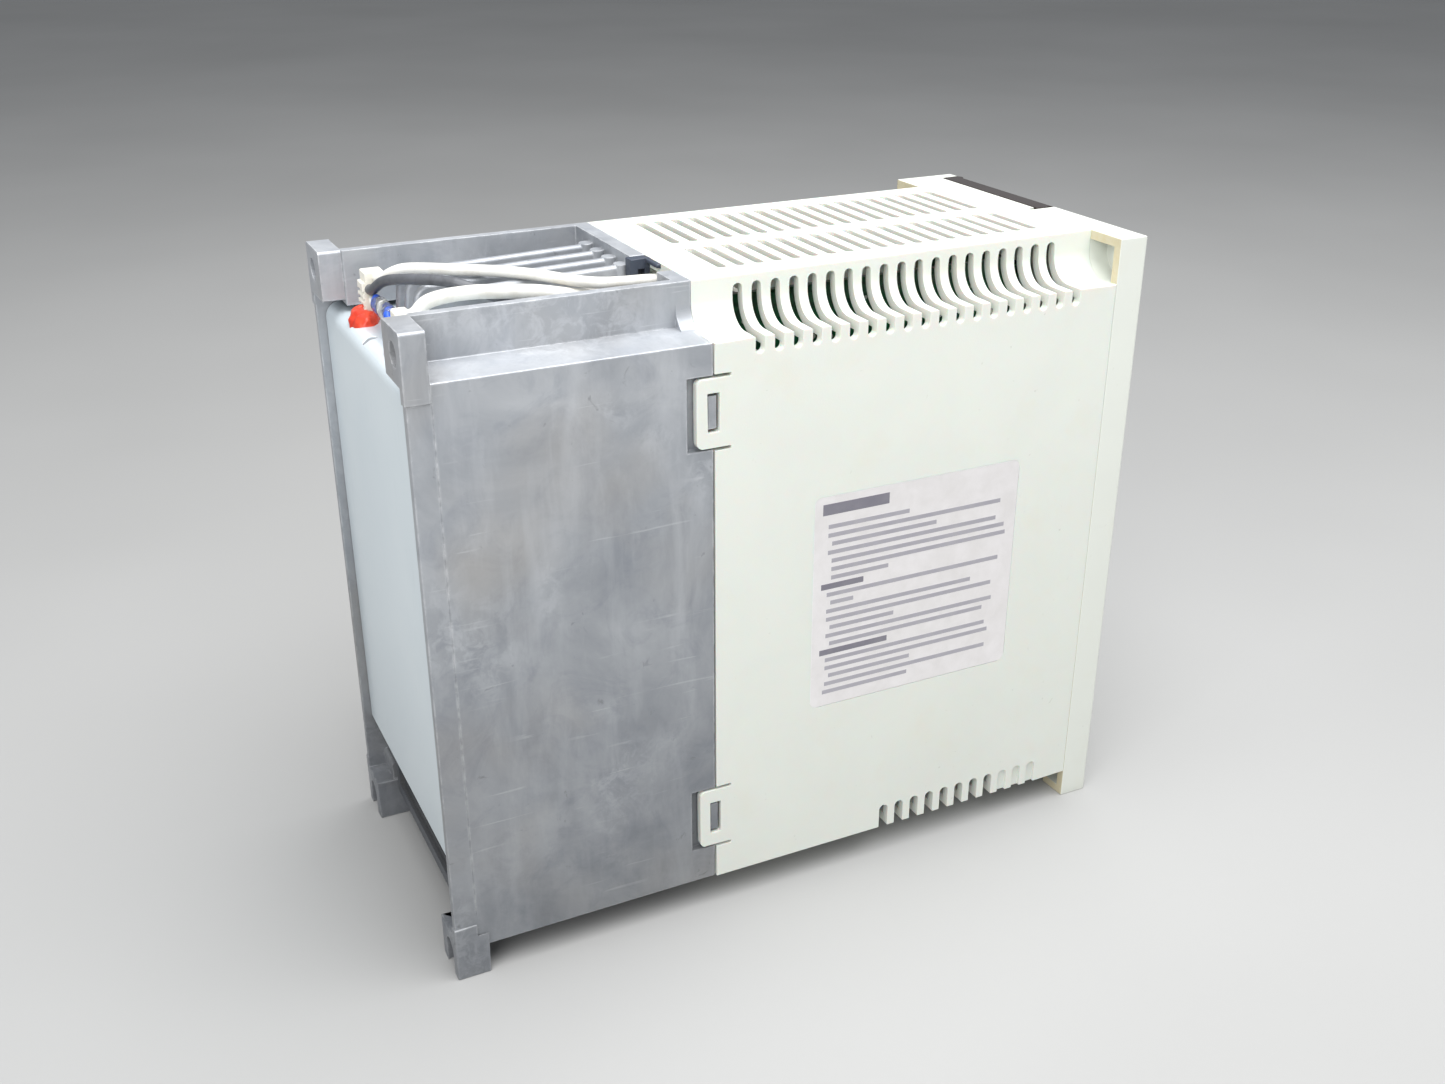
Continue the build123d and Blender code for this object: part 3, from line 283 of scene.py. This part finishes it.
def moulded(
    name, colour, dark, yellow=None, sheen=0.42, texture=0.00003,
    hollow_shade=0.5, aged_rear=0.0, foot_shade=1.0, **plain,
):
    """Moulded plastic: a spark-eroded texture, faint smears, painted shade in the corners and paler
    rubbed edges.

    aged_rear is how far the panel's rearmost faces have yellowed. foot_shade is how bright the painted
    shade leaves the lowest part, beside the rest.
    """
    f = Finish(name)
    smear = f.noise(0.03, 5, 0.6, 0.7)
    tone = f.mix(f.level(smear, 0.4, 0.7, 0.0, 0.5), colour, tuple(c * 0.95 for c in colour))
    if yellow:
        aged = f.level(f.noise(0.022, 4, 0.6), 0.56, 0.76, 0.0, 0.35)
        tone = f.mix(aged, tone, yellow)
    specks = f.level(f.noise(0.0024, 3, 0.6, 0.4), 0.71, 0.78, 0.0, 0.3)
    tone = f.mix(specks, tone, dark)
    # painted shade: the corners and slots are darkened toward the dark colour by the ambient occlusion
    # mask
    tone = f.mix(f.sum(f.hollows(0.004), hollow_shade, "MULTIPLY"), tone, dark)
    rubbed = tuple(min(1.0, c * 1.12 + 0.01) for c in colour)
    tone = f.mix(f.sum(f.edges(0.0008), 0.35, "MULTIPLY"), tone, rubbed)
    if aged_rear:
        facing = f.add("SeparateXYZ", {"Vector": f.add("NewGeometry").outputs["Normal"]}).outputs["Y"]
        rim = f.level(f.add("SeparateXYZ", {"Vector": f.place}).outputs["Y"], -0.091, -0.0895)
        patchy = f.level(f.noise(0.002, 4, 0.6), 0.25, 0.7, 0.7, 1.0)
        rear = f.sum(f.level(facing, 0.7, 0.9, 0.0, aged_rear), rim, "MULTIPLY")
        tone = f.mix(f.sum(rear, patchy, "MULTIPLY"), tone, srgb(206, 192, 152))
    # painted shade: the lowest part is darkened, down to the given brightness at the bottom
    if foot_shade < 1.0:
        tone = f.mix(1.0, tone, f.level(f.height(), 0.02, 0.14, foot_shade, 0.98), "MULTIPLY")
    grain = f.noise(0.00045, 2, 0.5)
    rough = f.level(f.sum(smear, f.sum(grain, 0.2, "MULTIPLY")), 0.35, 0.9, sheen - 0.08, sheen + 0.14)
    skin = f.bump(grain, texture, 0.6)
    skin = f.bump(f.noise(0.02, 2, 0.5), 0.00025, 0.35, skin)
    return f.done(tone, rough, skin, **plain)


def painted_sheet():
    """The resistor's can: thin drawn sheet with a pale blue-grey coat."""
    f = Finish("resistor sheet")
    cloud = f.noise(0.05, 4, 0.5, 0.4)
    tone = f.mix(f.level(cloud, 0.35, 0.7), srgb(212, 223, 229), srgb(222, 231, 235))
    rub = f.level(f.noise(0.0016, 3, 0.6, 0.2, f.stretched(1, 1, 0.15)), 0.6, 0.75, 0.0, 0.3)
    tone = f.mix(rub, tone, srgb(205, 216, 220))
    # painted shade: corners and slots are darkened by ambient occlusion
    tone = f.mix(f.sum(f.hollows(0.005), 0.2, "MULTIPLY"), tone, srgb(80, 86, 90))
    tone = f.mix(f.sum(f.edges(0.0008), 0.4, "MULTIPLY"), tone, srgb(228, 234, 237))
    # painted shade and painted light: darker toward the bottom of the can, brighter toward its top
    tone = f.mix(1.0, tone, f.level(f.height(), 0.03, 0.145, 0.8, 1.08), "MULTIPLY")
    grain = f.noise(0.0006, 2, 0.5, 0.0, f.stretched(1, 1, 0.2))
    skin = f.bump(grain, 0.00001, 0.5)
    skin = f.bump(f.noise(0.03, 2, 0.5), 0.0005, 0.4, skin)
    return f.done(tone, f.level(cloud, 0.3, 0.7, 0.3, 0.42), skin, Metallic=0.25)


def metal(name, bright, dull, rough=0.3, metallic=1.0, grain_size=0.0008, grain_way=(1, 1, 1)):
    """Stamped, turned or plated metal with a directional grain, painted shade in the corners and bright
    edges.
    """
    f = Finish(name)
    cloud = f.noise(0.006, 4, 0.6, 0.3)
    tone = f.mix(f.level(cloud, 0.35, 0.68), bright, dull)
    # painted shade: corners and hollows are darkened by ambient occlusion
    tone = f.mix(f.sum(f.hollows(0.002), 0.3, "MULTIPLY"), tone, tuple(c * 0.25 for c in dull))
    polished = tuple(min(1.0, c * 1.25) for c in bright)
    tone = f.mix(f.sum(f.edges(0.0004), 0.7, "MULTIPLY"), tone, polished)
    grain = f.noise(grain_size, 3, 0.6, 0.0, f.stretched(*grain_way))
    skin = f.bump(grain, 0.00002, 0.5)
    return f.done(tone, f.level(cloud, 0.3, 0.75, rough, rough + 0.2), skin, Metallic=metallic)


def board_green():
    """Solder mask over tracks: two greens in a maze of traces, with tinned dots."""
    f = Finish("circuit board")
    maze = f.cells(0.0035, "DISTANCE_TO_EDGE")
    tone = f.mix(f.level(maze, 0.08, 0.1), srgb(12, 66, 40), srgb(20, 92, 56))
    dots = f.level(f.cells(0.0042), 0.16, 0.13)
    tone = f.mix(dots, tone, srgb(178, 180, 172))
    # painted shade: corners and gaps are darkened by ambient occlusion
    tone = f.mix(f.sum(f.hollows(0.006), 0.5, "MULTIPLY"), tone, srgb(8, 22, 15))
    skin = f.bump(f.level(maze, 0.08, 0.12), 0.00003, 0.6)
    return f.done(tone, f.level(f.noise(0.01, 3), 0.3, 0.7, 0.25, 0.4), skin)


def rubbery(name, colour, deep, rough=0.4, **plain):
    """Silicone, insulation and other soft polymer: clouded, with fine specks and a slight grain."""
    f = Finish(name)
    cloud = f.noise(0.004, 4, 0.6, 0.5)
    tone = f.mix(f.level(cloud, 0.4, 0.7), colour, deep)
    specks = f.level(f.noise(0.0012, 3, 0.6), 0.66, 0.78, 0.0, 0.4)
    tone = f.mix(specks, tone, tuple(c * 0.6 for c in deep))
    # painted shade: creases and corners are darkened by ambient occlusion
    tone = f.mix(f.sum(f.hollows(0.002), 0.15, "MULTIPLY"), tone, tuple(c * 0.4 for c in deep))
    skin = f.bump(f.noise(0.0009, 3, 0.5), 0.00003, 0.5)
    return f.done(tone, f.level(cloud, 0.3, 0.7, rough - 0.06, rough + 0.12), skin, **plain)


MATERIALS = {
    "cast_aluminium": cast_aluminium(),
    "resistor_sheet": painted_sheet(),
    "resistor_cement": moulded(
        "resistor cement", srgb(112, 62, 52), srgb(74, 40, 34),
        sheen=0.8, texture=0.00012,
    ),
    "ivory_ceramic": moulded(
        "ivory ceramic", srgb(238, 235, 224), srgb(176, 162, 130),
        sheen=0.45, hollow_shade=0.25,
    ),
    "orange_silicone": rubbery("orange silicone", srgb(226, 76, 50), srgb(190, 48, 30), 0.3),
    "white_insulation": rubbery("white insulation", srgb(238, 237, 231), srgb(222, 219, 210), 0.34),
    "grey_insulation": rubbery("grey insulation", srgb(98, 100, 105), srgb(78, 80, 84), 0.4),
    "clear_sleeve": rubbery(
        "clear sleeve", srgb(246, 248, 250), srgb(232, 236, 240), 0.12,
        Transmission_Weight=0.92,
    ),
    "clip_plastic": moulded("clip plastic", srgb(66, 73, 86), srgb(34, 37, 44), sheen=0.4),
    "nylon": moulded("nylon", srgb(214, 210, 196), srgb(140, 134, 118), sheen=0.4),
    "fan_plastic": moulded("fan plastic", srgb(48, 50, 54), srgb(84, 82, 78), sheen=0.42),
    "tray_plastic": moulded("tray plastic", srgb(72, 75, 80), srgb(104, 102, 98), sheen=0.5),
    "stamped_steel": metal("stamped steel", srgb(176, 178, 180), srgb(140, 143, 146), 0.32),
    "zinc_screws": metal("zinc screws", srgb(196, 198, 196), srgb(150, 152, 150), 0.28),
    "case_plastic": moulded(
        "case plastic", srgb(225, 228, 220), srgb(150, 148, 132), srgb(222, 219, 202),
        hollow_shade=0.05, foot_shade=0.87, Subsurface_Weight=0.2, Subsurface_Scale=0.002,
    ),
    "aged_plastic": moulded(
        "aged case plastic", srgb(225, 228, 220), srgb(150, 148, 132), srgb(222, 219, 202),
        hollow_shade=0.2, foot_shade=0.87, aged_rear=0.9,
    ),
    "smoked_plastic": moulded(
        "smoked plastic", srgb(48, 39, 36), srgb(66, 58, 52),
        sheen=0.2, texture=0.000004,
    ),
    "key_plastic": moulded("key plastic", srgb(92, 96, 100), srgb(50, 52, 54), sheen=0.45),
    "display_face": moulded(
        "display face", srgb(30, 26, 26), srgb(14, 12, 12),
        sheen=0.16, texture=0.000003,
    ),
    "circuit_board": board_green(),
    "socket_plastic": moulded("socket plastic", srgb(40, 41, 43), srgb(20, 20, 21), sheen=0.5),
    "lamp_red": rubbery("lamp red", srgb(150, 22, 18), srgb(96, 10, 10), 0.18, Transmission_Weight=0.4),
    "label_foil": metal(
        "label foil", srgb(226, 223, 223), srgb(218, 215, 214), 0.38, 0.15, 0.0006, (1, 0.1, 1),
    ),
    "capacitor_sleeve": moulded("capacitor sleeve", srgb(28, 36, 52), srgb(12, 14, 20), sheen=0.28),
    "module_resin": moulded("module resin", srgb(36, 36, 38), srgb(70, 68, 64), sheen=0.55),
    "transformer_tape": moulded("transformer tape", srgb(196, 160, 60), srgb(120, 90, 30), sheen=0.35),
    "relay_case": moulded("relay case", srgb(52, 56, 62), srgb(26, 28, 30), sheen=0.3),
    "brass_pillar": metal("brass pillar", srgb(196, 158, 84), srgb(150, 116, 58), 0.3),
    "terminal_plastic": moulded("terminal plastic", srgb(34, 36, 38), srgb(70, 68, 62), sheen=0.45),
}

SLOT_OF = {part["node"]: part["material_slot"] for part in frame["record"]["subparts"]}
FINISH_OF = {"front_panel": "aged_plastic"}  # where the finish isn't the material slot's own

# How wide the rounding of a node's edges is, in millimetres.
EDGE = {
    "heat_sink": 0.3, "case_shell": 0.3, "front_panel": 0.3, "display_door": 0.2,
    "terminal_cover": 0.3, "resistor_can": 0.25, "ceramic_terminals": 0.3, "cable_clip": 0.3,
    "fan_tray": 0.3, "fan_frame": 0.25,
}


def held_in_box(node):
    """Geometry nodes that keep a rounded node inside the box of its CAD mesh."""
    group = bpy.data.node_groups.new("held_" + node.name, "GeometryNodeTree")
    for way in ("INPUT", "OUTPUT"):
        group.interface.new_socket("Geometry", in_out=way, socket_type="NodeSocketGeometry")
    start, end = group.nodes.new("NodeGroupInput"), group.nodes.new("NodeGroupOutput")
    value = group.nodes.new("GeometryNodeInputPosition").outputs[0]
    for operation, corner in zip(("MAXIMUM", "MINIMUM"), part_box(node.name)):
        limit = group.nodes.new("ShaderNodeVectorMath")
        limit.operation = operation
        limit.inputs[1].default_value = corner
        group.links.new(value, limit.inputs[0])
        value = limit.outputs[0]
    move = group.nodes.new("GeometryNodeSetPosition")
    group.links.new(start.outputs[0], move.inputs["Geometry"])
    group.links.new(value, move.inputs["Position"])
    group.links.new(move.outputs[0], end.inputs[0])
    return group


def soften_edges(node, width):
    """Rounds a CAD node's sharp edges with modifiers, which leave its own mesh as it is."""
    weld = node.modifiers.new("weld", "WELD")
    weld.merge_threshold = 0.000002
    flat = node.modifiers.new("flat", "DECIMATE")
    flat.decimate_type = "DISSOLVE"
    flat.angle_limit = math.radians(0.6)
    bevel = node.modifiers.new("bevel", "BEVEL")
    bevel.offset_type = "ABSOLUTE"  # the other kinds throw long spikes where faces meet at a slant
    bevel.width = width * MM
    bevel.segments = 2
    bevel.limit_method = "ANGLE"
    bevel.angle_limit = math.radians(38)
    bevel.use_clamp_overlap = False
    bevel.miter_outer = "MITER_SHARP"
    hold = node.modifiers.new("hold", "NODES")
    hold.node_group = held_in_box(node)
    shade = node.modifiers.new("shade", "WEIGHTED_NORMAL")
    shade.keep_sharp = False


for node_name, node in NODES.items():
    slot = SLOT_OF[node_name]
    node.data.materials.clear()
    node.data.materials.append(MATERIALS[FINISH_OF.get(node_name, slot)])
    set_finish(node, slot)
    if node_name in EDGE:
        soften_edges(node, EDGE[node_name])
for lead in LEADS:
    lead.data.materials.append(MATERIALS[lead["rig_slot"]])


# ---- pieces made here, each over or in place of a plain CAD node ----
def mesh_piece(name, form, body, slot, materials, replaced=(), smooth=True):
    """A finished mesh that rides on a body, in its material slot."""
    mesh = bpy.data.meshes.new(name)
    bmesh.ops.recalc_face_normals(form, faces=form.faces)
    form.to_mesh(mesh)
    form.free()
    for face in mesh.polygons:
        face.use_smooth = smooth
    for material in materials:
        mesh.materials.append(material)
    piece = bpy.data.objects.new(name, mesh)
    SCENE.collection.objects.link(piece)
    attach(piece, body)
    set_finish(piece, slot)
    if replaced:
        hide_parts(*replaced)
    return piece


def slab(form, low, high, material=0):
    """Adds a box between two corners to a mesh."""
    middle = [(a + b) / 2 for a, b in zip(low, high)]
    size = [b - a for a, b in zip(low, high)]
    place = Matrix.Translation(middle) @ Matrix.Diagonal((*size, 1.0))
    made = bmesh.ops.create_cube(form, size=1.0, matrix=place)
    for face in {face for vert in made["verts"] for face in vert.link_faces}:
        face.material_index = material


def ring_tube(form, path, radius, sides=10, material=0):
    """Adds a closed tube along a list of points. radius is one number, or one for each point."""
    radii = radius if isinstance(radius, list) else [radius] * len(path)
    rings = []
    for i, point in enumerate(path):
        way = (path[min(i + 1, len(path) - 1)] - path[max(i - 1, 0)]).normalized()
        first = way.orthogonal() if not rings else (side - way * side.dot(way))
        side = first.normalized()
        up = way.cross(side)
        turns = [2 * math.pi * k / sides for k in range(sides)]
        spokes = [side * math.cos(t) + up * math.sin(t) for t in turns]
        rings.append([form.verts.new(point + radii[i] * spoke) for spoke in spokes])
    faces = [form.faces.new(rings[0]), form.faces.new(list(reversed(rings[-1])))]
    for ring, following in zip(rings, rings[1:]):
        for k in range(sides):
            n = (k + 1) % sides
            faces.append(form.faces.new((ring[k], following[k], following[n], ring[n])))
    for face in faces:
        face.material_index = material


# Ruled bars of the side label, top to bottom: left end and length as shares of the width, and weight.
LABEL_ROWS = (
    (0.00, 0.34, 3), None, (0.03, 0.42, 1), (0.03, 0.92, 1), (0.05, 0.55, 1), (0.03, 0.90, 1),
    (0.05, 0.93, 1), (0.05, 0.94, 1), (0.05, 0.30, 1), (0.00, 0.22, 2), (0.03, 0.93, 1),
    (0.05, 0.12, 1), (0.03, 0.78, 1), (0.03, 0.90, 1), (0.05, 0.34, 1), (0.03, 0.91, 1),
    (0.05, 0.84, 1), (0.00, 0.36, 2), (0.03, 0.88, 1), (0.03, 0.90, 1), (0.05, 0.44, 1),
    (0.03, 0.89, 1), (0.02, 0.46, 1),
)
BAR_HALF = (0.00058, 0.0008, 0.0015)  # half the height of a bar, for each weight
LABEL_MARGIN = 0.0024
LABEL_FIRST_BAR = 0.0036  # below the label's top
LABEL_PITCH = 0.00237


def side_label():
    """A silver film with plain ruled bars where such a label is printed."""
    low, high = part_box("side_label")
    form = bmesh.new()
    face_x = low.x + 0.00004
    print_x = face_x - PROUD
    slab(form, (face_x, low.y, low.z), (high.x, high.y, high.z))
    left, width = high.y - LABEL_MARGIN, high.y - low.y - 2 * LABEL_MARGIN
    for i, row in enumerate(LABEL_ROWS):
        if row:
            start, share, weight = row
            half = BAR_HALF[weight - 1]
            z = high.z - LABEL_FIRST_BAR - LABEL_PITCH * i
            near, far = left - start * width, left - min(start + share, 1.0) * width
            ink = 1 if weight == 1 else 2
            slab(form, (print_x, far, z - half), (face_x + 0.00002, near, z + half), ink)
    inks = [
        MATERIALS["label_foil"],
        metal("label ruled bars", srgb(158, 156, 163), srgb(166, 164, 170), 0.5, 0.0),
        metal("label heavy bars", srgb(118, 116, 126), srgb(128, 126, 134), 0.5, 0.0),
    ]
    mesh_piece("label_film", form, "drive_body", "label_foil", inks, ["side_label"], False)


# Lumps of sealant in millimetres: the middle, then half the width and half the height.
SEALANT_LUMPS = (
    (21.9, 89.3, 152.9, 4.3, 3.1), (18.2, 90.2, 152.4, 3.3, 2.4), (24.3, 90.4, 152.2, 2.6, 2.6),
    (21.0, 91.3, 151.8, 2.7, 2.5), (19.6, 88.2, 153.2, 2.2, 2.3), (-7.4, 89.2, 152.5, 3.2, 2.1),
    (-8.6, 90.3, 152.2, 2.2, 1.9), (-5.9, 88.2, 152.5, 2.0, 2.0),
)
SEALANT_FLOOR = 0.1495  # under the can's top, so that the lumps' flat bottoms don't show


def sealant():
    """Lumps of hand-laid silicone at the terminals' feet."""
    form = bmesh.new()
    for x, y, z, wide, tall in SEALANT_LUMPS:
        size = Matrix.Diagonal((wide * MM, wide * 0.9 * MM, tall * MM, 1.0))
        place = Matrix.Translation((x * MM, y * MM, z * MM)) @ size
        bmesh.ops.create_icosphere(form, subdivisions=4, radius=1.0, matrix=place)
    for vert in form.verts:
        push = noise.noise(vert.co * 420.0) * 0.0007 + noise.noise(vert.co * 1100.0) * 0.00036
        vert.co += vert.normal * push
        vert.co.z = max(vert.co.z, SEALANT_FLOOR)
    slot = "orange_silicone"
    piece = mesh_piece("sealant_lumps", form, "drive_body", slot, [MATERIALS[slot]], ["silicone_sealant"])
    skin = piece.modifiers.new("skin", "REMESH")  # makes one skin of the lumps
    skin.mode = "VOXEL"
    skin.voxel_size = 0.0003
    skin.use_smooth_shade = True
    relax = piece.modifiers.new("relax", "SMOOTH")
    relax.iterations = 4


FUSE_WIRE_R = 0.00092
STRAND_REACH = 0.00105  # from the twist's middle to the middle of each wire
SLEEVE_START, SLEEVE_LENGTH, SLEEVE_R, SLEEVE_END_R = 0.0016, 0.0128, 0.0020, 0.0016


def fuse_wires():
    """The cut-out's blue and white wires, twisted together between the terminals in a clear sleeve."""
    low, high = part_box("thermal_fuse")
    middle = Vector((0, (low.y + high.y) / 2, (low.z + high.z) / 2))
    form = bmesh.new()
    for strand, start in enumerate((0.0, math.pi)):
        path = []
        for i in range(61):
            share = i / 60
            reach = STRAND_REACH * min(1.0, 6 * share, 6 * (1 - share)) + 0.00005
            turn = start + share * 4.2 * math.pi
            x = low.x + 0.0002 + (high.x - low.x - 0.0004) * share
            around = Vector((0, reach * math.cos(turn), reach * math.sin(turn)))
            path.append(Vector((x, middle.y, middle.z)) + around)
        ring_tube(form, path, FUSE_WIRE_R, 10, strand)
    blue = rubbery("blue insulation", srgb(44, 92, 204), srgb(32, 70, 172), 0.34)
    slot = "white_insulation"
    mesh_piece("fuse_wires", form, "drive_body", slot, [MATERIALS[slot], blue])
    form = bmesh.new()
    path = [middle + Vector((SLEEVE_START + SLEEVE_LENGTH * i / 24, 0.0, 0.0)) for i in range(25)]
    radii = [SLEEVE_R + 0.00022 * math.sin(2.6 * i) * math.cos(0.9 * i) for i in range(25)]
    radii[0] = radii[-1] = SLEEVE_END_R
    ring_tube(form, path, radii, 20)
    slot = "clear_sleeve"
    mesh_piece("fuse_sleeve", form, "drive_body", slot, [MATERIALS[slot]], ["thermal_fuse"])


BLADES = 7
BLADE_ROOT_R, BLADE_TIP_R = 0.0116, 0.0276
BLADE_THICKNESS = 0.0011
BLADE_CELLS = 8  # along the blade and across it
HUB_SIDES = 48


def rotor():
    """The fan's rotor: a domed hub and swept blades that twist from root to tip."""
    low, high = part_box("fan_rotor")
    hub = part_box("fan_frame")
    centre = Vector(((hub[0].x + hub[1].x) / 2, (hub[0].y + hub[1].y) / 2, 0.0))
    base, top = low.z + 0.0024, high.z
    form = bmesh.new()
    profile = ((0.0085, top), (0.0108, top - 0.0004), (0.0119, top - 0.0016), (0.012, base))
    turns = [2 * math.pi * k / HUB_SIDES for k in range(HUB_SIDES)]
    rings = []
    for radius, z in profile:
        spokes = [Vector((radius * math.cos(t), radius * math.sin(t), z)) for t in turns]
        rings.append([form.verts.new(centre + spoke) for spoke in spokes])
    form.faces.new(rings[0])
    form.faces.new(list(reversed(rings[-1])))
    for ring, following in zip(rings, rings[1:]):
        for k in range(HUB_SIDES):
            n = (k + 1) % HUB_SIDES
            form.faces.new((ring[k], following[k], following[n], ring[n]))
    height = top - base - 0.0006
    for blade in range(BLADES):
        grid = []
        for i in range(BLADE_CELLS + 1):
            share = i / BLADE_CELLS
            radius = BLADE_ROOT_R + (BLADE_TIP_R - BLADE_ROOT_R) * share
            half_turn = 0.40 - 0.05 * share
            row = []
            for j in range(BLADE_CELLS + 1):
                along = j / BLADE_CELLS - 0.5
                angle = blade * 2 * math.pi / BLADES + 2 * half_turn * along - 0.22 * share
                rise = 0.5 + along * (0.98 - 0.16 * share) + 0.36 * (0.25 - along * along)
                z = min(max(base + 0.0003 + height * rise, base + 0.0002), top - 0.0002)
                tip = Vector((radius * math.cos(angle), radius * math.sin(angle), z))
                row.append(form.verts.new(centre + tip))
            grid.append(row)
        for i in range(BLADE_CELLS):
            for j in range(BLADE_CELLS):
                form.faces.new((grid[i][j], grid[i + 1][j], grid[i + 1][j + 1], grid[i][j + 1]))
    slot = "fan_plastic"
    piece = mesh_piece("moulded_rotor", form, "fan_rotor", slot, [MATERIALS[slot]], ["fan_rotor"])
    thick = piece.modifiers.new("thick", "SOLIDIFY")
    thick.thickness = BLADE_THICKNESS
    thick.offset = 0.0


SOCKET_X = (-0.030, -0.010, 0.010, 0.030)
PIN_COLUMNS = (-0.00115, 0.00115)
PINS = 10  # in each column
PIN_HALF = 0.0003
PIN_END_GAP = 0.0036  # from the socket's end to the first pin
PIN_DEPTH = (0.0042, 0.0104)  # where a pin starts and ends, behind the socket's face


def socket_contacts():
    """Two rows of gilt pins in each of the four sockets."""
    low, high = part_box("signal_sockets")
    form = bmesh.new()
    near, far = low.y + PIN_DEPTH[0], low.y + PIN_DEPTH[1]
    for socket_x in SOCKET_X:
        for column in PIN_COLUMNS:
            for i in range(PINS):
                x = socket_x + column
                z = low.z + PIN_END_GAP + (high.z - low.z - 2 * PIN_END_GAP) * i / (PINS - 1)
                slab(form, (x - PIN_HALF, near, z - PIN_HALF), (x + PIN_HALF, far, z + PIN_HALF))
    slot = "brass_pillar"
    mesh_piece("socket_pins", form, "drive_body", slot, [MATERIALS[slot]], (), False)


TERMINAL_ROWS = (0.0205, 0.0355)
TERMINAL_PITCH = 0.0104
TERMINAL_CROSS = ((0.0021, 0.00035), (0.00035, 0.0021))  # half sizes of the cross's two bars
FAN_SCREW_REACH = 0.025  # from the fan's middle, both ways
FAN_SCREW_CROSS = ((0.0019, 0.0003), (0.0003, 0.0019))
CROSS_DEPTH = 0.0003


def screw_recess_shade():
    """Painted shade for the cross recesses in the heads of the terminals' and the fan's screws: dark
    inlays where the recesses are.
    """
    form = bmesh.new()
    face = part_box("terminal_screws")[0].y
    for z in TERMINAL_ROWS:
        for i in range(-3, 4):
            x = i * TERMINAL_PITCH
            for wide, tall in TERMINAL_CROSS:
                slab(form, (x - wide, face - PROUD, z - tall), (x + wide, face + CROSS_DEPTH, z + tall))
    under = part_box("fan_screws")[0].z
    low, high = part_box("fan_frame")
    middle = (low.y + high.y) / 2
    for x in (-FAN_SCREW_REACH, FAN_SCREW_REACH):
        for y in (middle - FAN_SCREW_REACH, middle + FAN_SCREW_REACH):
            for wide, deep in FAN_SCREW_CROSS:
                slab(form, (x - wide, y - deep, under - PROUD), (x + wide, y + deep, under + CROSS_DEPTH))
    # painted shade: the dark colour stands in for the shade inside the cross recesses
    dark = metal("screw recess shade", srgb(58, 58, 58), srgb(40, 40, 40), 0.5)
    mesh_piece("screw_recess_shade", form, "drive_body", "zinc_screws", [dark], (), False)


DIGITS = 6
DIGIT_WIDTH, DIGIT_HEIGHT = 0.0028, 0.0076
DIGIT_PITCH = 0.0046
DIGIT_MARGIN = 0.0036  # from the display's side to the first digit's middle
SEGMENT_HALF = 0.00045


def display_digits():
    """Unlit seven-segment digits in the display's face."""
    low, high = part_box("display_module")
    form = bmesh.new()
    front, back = low.y - PROUD, low.y + 0.0002
    bar = SEGMENT_HALF
    middle = (low.z + high.z) / 2
    for i in range(DIGITS):
        x = low.x + DIGIT_MARGIN + i * DIGIT_PITCH
        for z in (middle - DIGIT_HEIGHT / 2, middle, middle + DIGIT_HEIGHT / 2):
            reach = DIGIT_WIDTH / 2 - bar
            slab(form, (x - reach, front, z - bar), (x + reach, back, z + bar))
        for side in (-1, 1):
            for level in (-1, 1):
                near = middle + level * bar * 1.4
                far = middle + level * (DIGIT_HEIGHT / 2 - bar * 0.6)
                edge = x + side * DIGIT_WIDTH / 2
                slab(form, (edge - bar, front, min(near, far)), (edge + bar, back, max(near, far)))
    unlit = moulded("unlit segments", srgb(78, 52, 48), srgb(60, 40, 38), sheen=0.4)
    mesh_piece("unlit_digits", form, "drive_body", "display_face", [unlit], (), False)


side_label()
screw_recess_shade()
display_digits()
sealant()
fuse_wires()
rotor()
socket_contacts()


# ---- stage and light ----
AIM = (0, 0, 0.1)  # both lights look at the drive's middle


def make_floor():
    mesh = bpy.data.meshes.new("floor")
    form = bmesh.new()
    bmesh.ops.create_grid(form, x_segments=1, y_segments=1, size=6.0)
    form.to_mesh(mesh)
    form.free()
    floor = bpy.data.objects.new("floor", mesh)
    SCENE.collection.objects.link(floor)
    f = Finish("floor")
    tone = f.mix(f.level(f.noise(0.4, 3), 0.3, 0.7), srgb(164, 164, 163), srgb(172, 172, 171))
    mesh.materials.append(f.done(tone, 0.8))


def soft_light(name, place, aim, width, height, power):
    data = bpy.data.lights.new(name, "AREA")
    data.shape = "RECTANGLE"
    data.size, data.size_y = width, height
    data.energy = power
    light = bpy.data.objects.new(name, data)
    SCENE.collection.objects.link(light)
    way = Vector(aim) - Vector(place)
    light.matrix_world = Matrix.Translation(place) @ way.to_track_quat("-Z", "Y").to_matrix().to_4x4()


def make_world():
    world = bpy.data.worlds.new("studio")
    world.use_nodes = True
    sky = world.node_tree.nodes["Background"]
    sky.inputs["Color"].default_value = (0.82, 0.85, 0.89, 1)
    sky.inputs["Strength"].default_value = 0.4
    SCENE.world = world


make_floor()
make_world()
soft_light("key", (-0.2, -0.1, 1.0), AIM, 1.0, 1.0, 17.5)
soft_light("fill", (-0.8, 0.9, 0.75), AIM, 0.9, 0.7, 10.5)
SCENE.view_settings.view_transform = "Standard"
